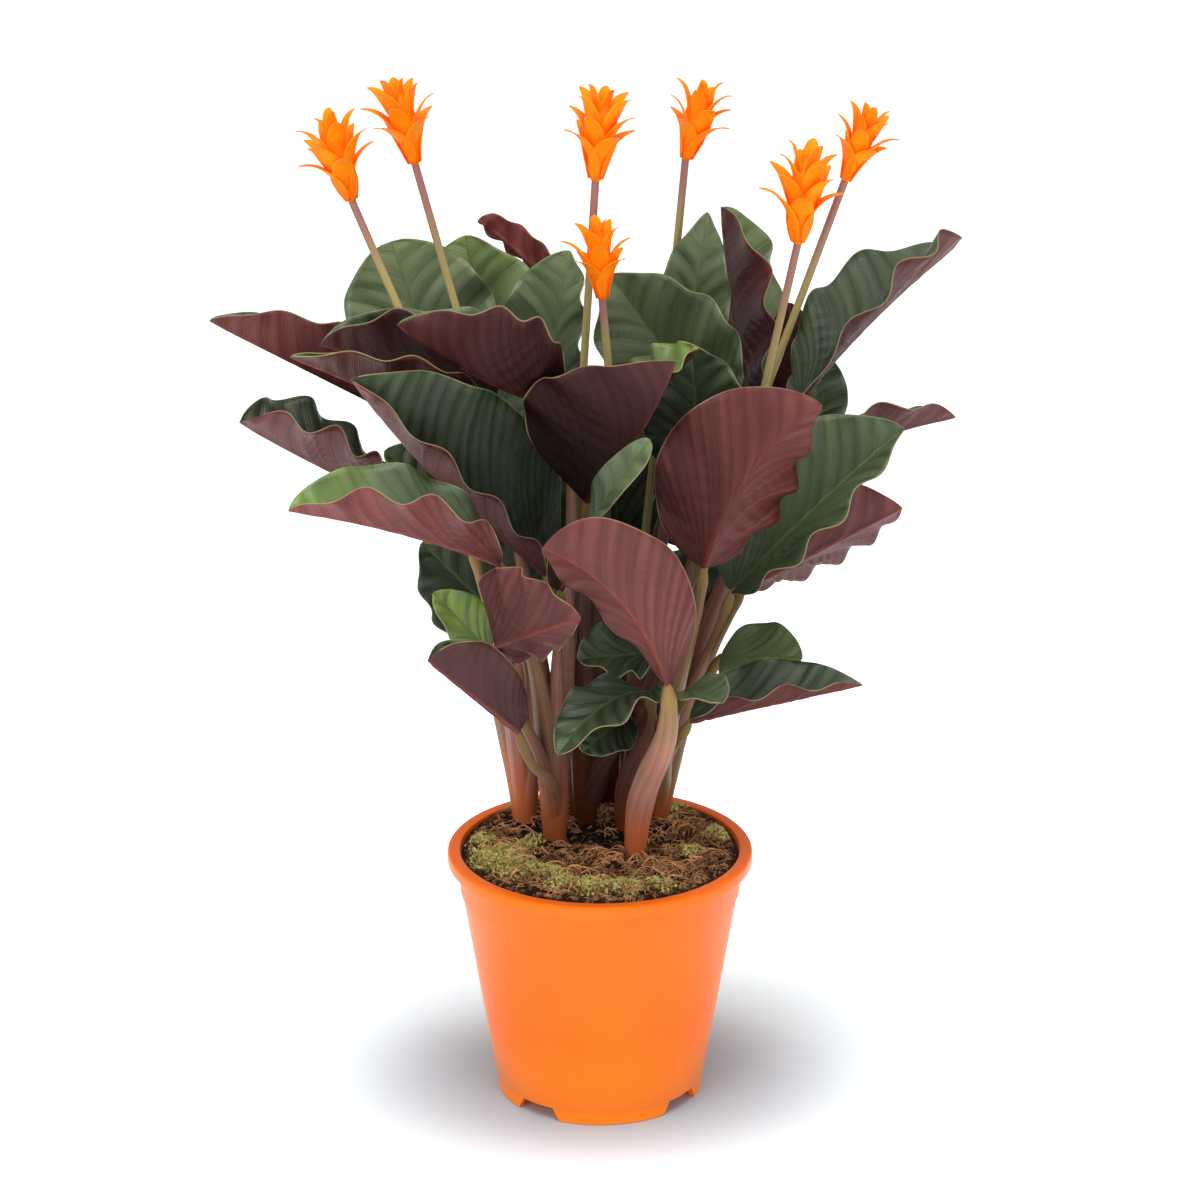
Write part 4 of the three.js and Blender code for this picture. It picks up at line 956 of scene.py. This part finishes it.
STALK_FOOT, STALK_ROOT = 104, 119
STALK_TOP_RADIUS, STALK_END_RADIUS, SWELL_LENGTH = 2.0, 1.3, 0.6
ROOT_WAIST, ROOT_LENGTH = 0.78, 0.2
STALK_STATIONS, STRAIGHT_STATIONS, STALK_SIDES = 44, 10, 12
LEAN_SHARE, RISE_SHARE, TURN_SHARE, LONGEST_TURN, DROP_SHARE = 0.05, 0.38, 0.12, 16, 0.2
SHEATH_FALL = 0.8
JOINT_LENGTH, JOINT_SWELL = 14, 0.55
STALK_TIP, STALK_TIP_RADIUS = 3, 0.7  # a stalk's pointed end, which runs on along the midrib
CROWN_RADIUS, ROOT_SPREAD, CROWN_WALL = 8.5, 2.8, 0.2
CROWN_PROFILE = (  # height and radius
    (96, 8.4), (104, 8.4), (110, 8.4), (113, 8.2), (115.5, 7.4), (117, 6), (118, 3.2),
)
STEM_RISE, STEM_RADIUS, STEM_TOP_RADIUS = 70, 2.1, 1.7
SHADE = {"front": 0.0, "left": 0.05, "mid": 0.45, "c": 0.8, "cr": 0.7, "right": 0.35, "back": 0.85}
SHADE_TOP, SHADE_DEPTH, CROWN_SHADE = 345, 60, 0.5
CROWN_TONE, FLOWERING_TONE = 0.6, 2.0  # a leaf stalk's tone is its row's own, up to 1

# One row a flower: its shoot, a point its stem passes, the stem's top, a point up the head's axis,
# and the head's turn in degrees and size.
BLOOMS = [
    ("left", (-88, 21, 365), (-109, 30, 413), (-115, 30, 433), 10, 1),
    ("c", (-64, 45, 359), (-82, 50, 425), (-87, 50, 446), 40, 0.98),
    ("c", (-7, 14, 346), (-2, 12, 426), (0, 12, 447), 25, 1.02),
    ("cr", (34, 60, 379), (38, 55, 426), (43, 55, 445), 55, 0.9),
    ("cr", (73, 22, 329), (86, 8, 399), (88, 8, 421), 5, 1.08),
    ("right", (85, 46, 351), (107, 25, 423), (114, 25, 441), 30, 0.86),
    ("c", (3, -3, 355), (1, -4, 377), (0, -4, 394), 48, 0.9),
]


def bezier(corners, t):
    """Points along a cubic curve."""
    a, b, c, d = (np.array(corner, float) for corner in corners)
    t = t[:, None]
    return (1 - t) ** 3 * a + 3 * t * (1 - t) ** 2 * b + 3 * t ** 2 * (1 - t) * c + t ** 3 * d


def shade(line, shoot):
    """How much painted shade darkens a stalk, from 0 to 1: the inner shoots get it, below the tops of the
    leaves.
    """
    return SHADE[shoot] * np.clip((SHADE_TOP - line[:, 2]) / SHADE_DEPTH, 0, 1)


def leaf_stalk(row):
    """A leaf stalk's line from the crown to the blade, and its radii."""
    crown = np.array([*SHOOTS[row["shoot"]], 0], float)
    base, (_, along) = np.array(row["base"], float), midrib_at(row, 0.0)
    outward = unit((base - crown) * (1, 1, 0)) * min(ROOT_SPREAD, CROWN_RADIUS - CROWN_WALL - row["sheath"])
    root = crown + outward + (0, 0, STALK_ROOT)
    length = np.linalg.norm(base - root)
    rise = root + LEAN_SHARE * (base - root)
    rise[2] = STALK_ROOT + RISE_SHARE * length
    last = along * min(TURN_SHARE * length, LONGEST_TURN)
    bend = base - last - (0, 0, DROP_SHARE * length) + row["swing"]
    t = np.linspace(0, 1, STALK_STATIONS)
    line = np.concatenate([[root * (1, 1, 0) + (0, 0, STALK_FOOT)], bezier((root, rise, bend, base), t),
                           [base + STALK_TIP * along]])
    share, hold, swell = row["clasp"]
    left = (1 - np.minimum(1, t / share) ** hold) ** SHEATH_FALL
    left *= 1 + swell * np.sin(np.pi * np.minimum(1, t / SWELL_LENGTH))
    radii = STALK_TOP_RADIUS + (row["sheath"] - STALK_TOP_RADIUS) * left
    joint = np.clip((length * (t - 1) + JOINT_LENGTH) / JOINT_LENGTH, 0, 1)
    radii = radii + JOINT_SWELL * np.sin(np.pi * joint) - (STALK_TOP_RADIUS - STALK_END_RADIUS) * joint ** 3
    radii = radii * np.interp(t, (0, ROOT_LENGTH), (ROOT_WAIST, 1))
    radii = np.concatenate([[ROOT_WAIST * row["sheath"]], radii, [STALK_TIP_RADIUS]])
    t = np.concatenate([[0], t, [1]])
    joint = np.concatenate([[0], np.clip(3 * joint, 0, 1), [1]])
    stem = np.stack([t, np.full_like(t, row["stalk"]), joint], 1)
    return line, radii * MM, stem, shade(line, row["shoot"])


def flower_stem(shoot, via, top):
    """A flower stem's line and radii: a soft curve through the leaves, then straight into its head."""
    root = np.array([*SHOOTS[shoot], STALK_ROOT], float)
    via, top = np.array(via, float), np.array(top, float)
    bend = via - STEM_RISE * unit(top - via)
    t = np.linspace(0, 1, STALK_STATIONS)
    curve = bezier((root, root + (0, 0, STEM_RISE), bend, via), t)
    steps = np.linspace(1 / STRAIGHT_STATIONS, 1, STRAIGHT_STATIONS)[:, None]
    straight = via + steps * (top + unit(top - via) - via)
    line = np.concatenate([[root * (1, 1, 0) + (0, 0, STALK_FOOT)], curve, straight])
    share = np.linspace(0, 1, len(line))
    radii = STEM_RADIUS + (STEM_TOP_RADIUS - STEM_RADIUS) * share
    stem = np.stack([share, np.full_like(share, FLOWERING_TONE), np.zeros_like(share)], 1)
    return line, radii * MM, stem, shade(line, shoot)


def stalk_material():
    """Ribbed stalks: tan at the foot, then olive to maroon by each stalk's own tone, darkened by painted
    shade on the inner shoots.
    """
    material, tree, shader = new_material("calathea_stalk")
    share, tone, joint = split(tree, carried(tree, "stem", "Vector"))
    x, y, _ = split(tree, carried(tree, "around", "Vector"))
    place = combined(tree, x, y, calculate(tree, "MULTIPLY", share, 0.35))
    streaks = blend_number(tree, fade(tree, noise(tree, place, 4.0, 6.0), 0.3, 0.7), 0.25, 0.75)
    patches, grain = mottled(tree, 40.0, 1200.0)
    olive = blend(tree, streaks, srgb(106, 96, 44), srgb(148, 136, 66))
    maroon = blend(tree, streaks, srgb(136, 84, 74), srgb(180, 128, 114))
    skin = blend(tree, fade(tree, calculate(tree, "ABSOLUTE", tone), 0.0, 1.0), olive, maroon)
    petiole = blend(tree, streaks, srgb(112, 88, 42), srgb(156, 128, 68))
    skin = laid(tree, skin, petiole, fade(tree, share, 0.6, 0.85), 0.65)
    skin = laid(tree, skin, srgb(92, 50, 38), patches, 0.2)
    young = blend(tree, streaks, srgb(104, 124, 24), srgb(160, 176, 62))
    skin = laid(tree, skin, young, fade(tree, tone, 0.0, -0.5), fade(tree, share, 0.45, 0.8))
    foot = calculate(tree, "SUBTRACT", 1.0, fade(tree, share, 0.0, 0.3))
    skin = laid(tree, skin, srgb(204, 104, 48), foot, 0.85)
    skin = laid(tree, skin, srgb(140, 112, 54), joint, 0.6)
    mauve = blend(tree, fade(tree, share, 0.84, 0.98), srgb(180, 166, 104), srgb(164, 108, 106))
    mauve = laid(tree, mauve, srgb(118, 92, 64), streaks, 0.5)
    skin = blend(tree, fade(tree, tone, 1.2, 1.8), skin, mauve)
    # Painted shade: the inner stalks turn nearly black and lose their gloss.
    dim = carried(tree, "dim")
    tree.links.new(blend(tree, dim, skin, srgb(14, 8, 6)), shader.inputs["Base Color"])
    set_finish(shader, Roughness=0.5)
    tree.links.new(calculate(tree, "MULTIPLY_ADD", dim, -0.3, 0.3), shader.inputs["Specular IOR Level"])
    relief = calculate(tree, "MULTIPLY_ADD", streaks, 0.5, calculate(tree, "MULTIPLY", grain, 0.2))
    bumped(tree, shader, relief, 0.00015)
    return material


def crown_line(place):
    """The crown itself as a short thick line, rounded over at its top."""
    heights, radii = np.array(CROWN_PROFILE, float).T
    count = len(heights)
    line = np.stack([np.full(count, place[0]), np.full(count, place[1]), heights], 1)
    return line, radii * MM, np.tile([0.0, CROWN_TONE, 0.0], (count, 1)), np.full(count, CROWN_SHADE)


stalk_skin = stalk_material()
for name, place in SHOOTS.items():
    made = [crown_line(place)]
    made += [leaf_stalk(row) for row in LEAVES if row["shoot"] == name]
    made += [flower_stem(*bloom[:3]) for bloom in BLOOMS if bloom[0] == name]
    lines, radii, stems, shades = zip(*made)
    mesh = grown(line_mesh(f"shoot_{name}", lines, radius=radii, stem=stems, dim=shades), tubes,
                 Sides=STALK_SIDES, Material=stalk_skin)
    new_piece(f"stalks_{name}", mesh, "stalk", f"shoot_{name}")

# ------------------------------------------------------------------ the flower heads
# Each head stands on its stem, a funnel of stiff waxy orange bracts in layers round a core. The
# outer bracts open out flat with their thin tips bent down, and the inner ones stand upright.

BRACT_ROWS, BRACT_COLUMNS = 16, 5
BRACT_THICKNESS, BRACT_DROOP, DROOP_FROM = 0.45, 2.8, 0.55
BRACT_CUP, CUP_DROP, BRACT_RUFFLE = 13, 0.2, 0.3
BRACT_OUTLINE = (  # width along it
    (0, 0.5), (0.15, 0.82), (0.32, 1), (0.5, 0.95), (0.68, 0.76), (0.84, 0.5), (0.95, 0.26), (1, 0.05),
)
CORE_PROFILE = [  # radius and height
    (0, 0), (1.6, 0), (2.2, 0.6), (3.2, 4.4), (4.4, 9), (5.6, 17), (5.2, 26), (2.6, 33), (0, 35),
]
CORE_SEGMENTS, HEAD_GAP, UNEVENNESS = 24, 0.45, 0.14
LAYERS = (  # how many, turn of the first, root, belly and tip as distance and height, and width
    (4, 0, (2.0, 1), (6.4, 15), (17, 25), 11),
    (4, 45, (3.0, 7), (7.6, 22), (17, 33), 10.5),
    (4, 15, (3.4, 16), (6.6, 30), (13.5, 40), 9),
    (3, 60, (1.4, 26), (3.4, 36), (6.2, 43.5), 6.5),
)


def bract_mesh(root, belly, tip, width):
    """A pointed bract, cupped round the head, with its tip bent down."""
    t, s = np.linspace(0, 1, BRACT_ROWS + 1), np.linspace(-1, 1, 2 * BRACT_COLUMNS + 1)
    root, belly, tip = (np.array(place, float) for place in (root, belly, tip))
    control = 2 * belly - (root + tip) / 2
    line = ((1 - t) ** 2)[:, None] * root + (2 * t * (1 - t))[:, None] * control + (t ** 2)[:, None] * tip
    line[:, 1] -= BRACT_DROOP * np.clip((t - DROOP_FROM) / (1 - DROOP_FROM), 0, 1) ** 2
    spread = np.interp(t, *zip(*BRACT_OUTLINE)) * width / 2
    aside = spread[:, None] * s
    cup = aside ** 2 / BRACT_CUP + BRACT_RUFFLE * np.sin(9 * t)[:, None] * s ** 4
    points = np.stack([line[:, :1] - cup, aside, line[:, 1:] - CUP_DROP * cup], -1)
    normal = np.cross(np.gradient(points, axis=1), np.gradient(points, axis=0))
    normal[-1] = normal[-2]
    normal = unit(normal)
    if normal[3, BRACT_COLUMNS, 0] < 0:
        normal = -normal
    skins = [points + normal * BRACT_THICKNESS / 2, points - normal * BRACT_THICKNESS / 2]
    flat = np.concatenate([skin.reshape(-1, 3) for skin in skins])
    marks = [(along, beside, side) for side in (1, -1) for along in t for beside in s]
    across, count = len(s), len(t) * len(s)
    faces = []
    for i in range(BRACT_ROWS):
        for k in range(across - 1):
            a = i * across + k
            faces += [[a, a + 1, a + across + 1, a + across],
                      [count + a, count + a + across, count + a + across + 1, count + a + 1]]
    last = BRACT_ROWS * across
    rim = ([(i * across, (i + 1) * across) for i in range(BRACT_ROWS)]
           + [(last + k, last + k + 1) for k in range(across - 1)]
           + [((i + 2) * across - 1, (i + 1) * across - 1) for i in range(BRACT_ROWS)]
           + [(k + 1, k) for k in range(across - 1)])
    faces += [[a, b, count + b, count + a] for a, b in rim]
    mesh = new_mesh("bract", flat, faces, None, bract=np.array(marks))
    shell = bmesh.new()
    shell.from_mesh(mesh)
    bmesh.ops.remove_doubles(shell, verts=shell.verts, dist=1e-6)
    bmesh.ops.recalc_face_normals(shell, faces=shell.faces)
    shell.to_mesh(mesh)
    shell.free()
    return mesh


def whorl_tree():
    """A template bract set out round the Z axis, each one turned on by an equal step."""
    tree, given, result = new_tree("bract_whorl", {
        "Bract": "Object", "Count": "Int", "Turn": "Float", "Unevenness": "Float", "Seed": "Int",
        "Material": "Material",
    })
    spots = node(tree, "GeometryNodePoints", {"Count": given["Count"]}).outputs[0]
    index = node(tree, "GeometryNodeInputIndex").outputs[0]
    step = calculate(tree, "DIVIDE", 2 * math.pi, given["Count"])
    turn = calculate(tree, "MULTIPLY_ADD", index, step, given["Turn"])
    loose = calculate(tree, "MULTIPLY", given["Unevenness"], random_number(tree, -1, 1, given["Seed"]))
    lean = calculate(tree, "MULTIPLY", loose, 0.35)
    angles = combined(tree, y=lean, z=calculate(tree, "ADD", turn, loose))
    template = node(tree, "GeometryNodeObjectInfo", {"Object": given["Bract"]}).outputs["Geometry"]
    size = calculate(tree, "MULTIPLY_ADD", loose, 0.3, 1.0)
    inputs = {"Points": spots, "Instance": template, "Rotation": angles, "Scale": size}
    placed = node(tree, "GeometryNodeInstanceOnPoints", inputs).outputs[0]
    joined = node(tree, "GeometryNodeJoinGeometry")
    tree.links.new(placed, joined.inputs[0])
    tree.links.new(given["Geometry"], joined.inputs[0])
    end_tree(tree, joined.outputs[0], given, result)
    return tree


def bract_material():
    """Waxy orange with redder streaks and roots and thin olive tips, and a painted glow, redder at the
    roots, for light shining through the bracts.
    """
    material, tree, shader = new_material("orange_bract")
    share, aside, _ = split(tree, carried(tree, "bract", "Vector"))
    patches, grain = mottled(tree, 120.0, 1500.0)
    place = combined(tree, aside, calculate(tree, "MULTIPLY", share, 0.3))
    streaks = noise(tree, place, 11.0, 3.0)
    orange = blend(tree, patches, srgb(248, 130, 0), srgb(248, 148, 2))
    orange = laid(tree, orange, srgb(246, 112, 0), fade(tree, streaks, 0.45, 0.75), 0.3)
    foot = calculate(tree, "SUBTRACT", 1.0, fade(tree, share, 0.1, 0.5))
    orange = laid(tree, orange, srgb(246, 104, 0), foot, 0.5)
    edge = fade(tree, calculate(tree, "ABSOLUTE", aside), 0.86, 1.0)
    tip = calculate(tree, "MAXIMUM", fade(tree, share, 0.9, 1.0),
                    calculate(tree, "MULTIPLY", edge, fade(tree, share, 0.55, 0.95)))
    colour = laid(tree, orange, srgb(146, 124, 52), tip, 0.6)
    tree.links.new(colour, shader.inputs["Base Color"])
    # Painted light: an orange glow, redder at the roots, for light shining through the bracts.
    tree.links.new(blend(tree, share, srgb(250, 72, 0), srgb(250, 120, 0)), shader.inputs["Emission Color"])
    set_finish(shader, Roughness=0.55, Specular_IOR_Level=0.15, Emission_Strength=0.16)
    bumped(tree, shader, calculate(tree, "MULTIPLY_ADD", grain, 0.2, streaks), 0.0003)
    return material


def head_core(material):
    """The funnel that the bracts' roots are packed into."""
    points, faces = turned(CORE_PROFILE, CORE_SEGMENTS)
    turns = np.arctan2(points[:, 1], points[:, 0])
    marks = np.stack([np.full(len(points), 0.15), 0.5 * np.sin(4 * turns), np.ones(len(points))], 1)
    return new_mesh("core", points, faces, material, bract=marks)


whorl = whorl_tree()
bract_skin = bract_material()
bracts = [bpy.data.objects.new(f"bract_{i}", bract_mesh(*layer[2:])) for i, layer in enumerate(LAYERS)]
for number, (_, _, top, crown, turn, size) in enumerate(BLOOMS, 1):
    head = head_core(bract_skin)
    for i, (count, first, *_) in enumerate(LAYERS):
        head = grown(head, whorl, Bract=bracts[i], Count=count, Turn=math.radians(first + turn),
                     Unevenness=UNEVENNESS, Seed=10 * number + i, Material=bract_skin)
    axis = Vector(crown) - Vector(top)
    place = Matrix.Translation(MM * (Vector(top) + HEAD_GAP * axis.normalized()))
    lean = Vector((0, 0, 1)).rotation_difference(axis).to_matrix().to_4x4()
    head.transform(place @ lean @ Matrix.Scale(size, 4))
    new_piece(f"bloom_{number}", head, "bract", f"flower_head_{number}")
for template in bracts:
    bpy.data.objects.remove(template)

# ------------------------------------------------------------------ the studio
# A white floor under broad soft light. The camera looks slightly down at the plant.

CAMERA_DISTANCE, CAMERA_HEIGHT, CAMERA_PITCH = 1504.08, 758.28, 0.333
CAMERA_LENS, CAMERA_SENSOR = 106.5, 36
SURROUNDING_LIGHT = 0.5
LAMPS_AIM = (0, 0, 0.2)  # metres
SHADOW_OVAL = (1.12, 1.5, 1)  # distances from the pot count more to the front and back than aside
FLOOR_REACH = 9000


def floor_material():
    """White paper with a painted shadow, bluish grey, round the pot's foot, and a painted glow that keeps
    it white further from the pot.
    """
    material, tree, shader = new_material("white_floor")
    patches, grain = mottled(tree, 3.0, 300.0)
    place = node(tree, "ShaderNodeTexCoord").outputs["Object"]
    oval = node(tree, "ShaderNodeVectorMath", {0: place, 1: SHADOW_OVAL}, operation="MULTIPLY")
    distance = node(tree, "ShaderNodeVectorMath", {0: oval.outputs[0]}, operation="LENGTH").outputs["Value"]
    paper = blend(tree, patches, srgb(246, 246, 246), srgb(249, 249, 249))
    # Painted shadow round the pot's foot, bluish grey near it and paler further out.
    paper = blend(tree, fade(tree, distance, 0.14, 0.3), srgb(226, 240, 246), paper)
    paper = blend(tree, fade(tree, distance, 0.05, 0.15), srgb(176, 194, 204), paper)
    tree.links.new(paper, shader.inputs["Base Color"])
    set_finish(shader, Roughness=0.8, Emission_Strength=1.0)
    # Painted light: the paper glows from about 7.5 cm out to full strength at 25 cm, which hides the
    # plant's shadows behind the pot.
    glow = blend(tree, fade(tree, distance, 0.075, 0.25), (0, 0, 0, 1), (0.56, 0.6, 0.61, 1))
    tree.links.new(glow, shader.inputs["Emission Color"])
    bumped(tree, shader, grain, 0.00002)
    return material


def soft_light(name, place, width, power):
    """A square lamp that shines towards the plant."""
    lamp = bpy.data.lights.new(name, "AREA")
    lamp.size, lamp.energy = width, power
    light = new_object(name, lamp)
    light.location = place
    light.rotation_euler = (Vector(LAMPS_AIM) - light.location).to_track_quat("-Z", "Y").to_euler()


corners = [(x * FLOOR_REACH, y * FLOOR_REACH, 0) for x, y in ((-1, -1), (1, -1), (1, 1), (-1, 1))]
floor = new_object("floor", new_mesh("floor", corners, [[0, 1, 2, 3]], floor_material()))


def white_surroundings():
    """White to the camera, and a softer white that lights the plant."""
    world = bpy.data.worlds.new("pale_studio")
    world.use_nodes = True
    tree = world.node_tree
    seen, lit = (node(tree, "ShaderNodeBackground", {"Color": (1, 1, 1, 1), "Strength": strength})
                 for strength in (1.0, SURROUNDING_LIGHT))
    straight = node(tree, "ShaderNodeLightPath").outputs["Is Camera Ray"]
    inputs = {0: straight, 1: lit.outputs[0], 2: seen.outputs[0]}
    both = node(tree, "ShaderNodeMixShader", inputs).outputs[0]
    tree.links.new(both, tree.nodes["World Output"].inputs["Surface"])
    return world


bpy.context.scene.world = white_surroundings()
soft_light("overhead", (-0.1, -0.5, 2.1), 1.4, 34)
soft_light("front_left", (-1.3, -1.8, 1.3), 1.2, 13)
soft_light("front_right", (1.3, -1.8, 1.3), 1.2, 9)
bpy.context.scene.view_settings.view_transform = "Standard"

lens = bpy.data.cameras.new("camera")
lens.lens, lens.sensor_width = CAMERA_LENS, CAMERA_SENSOR
lens.clip_end = 50
camera = new_object("camera", lens)
camera.location = (0, -CAMERA_DISTANCE * MM, CAMERA_HEIGHT * MM)
camera.rotation_euler = (math.pi / 2 - CAMERA_PITCH, 0, 0)
bpy.context.scene.camera = camera
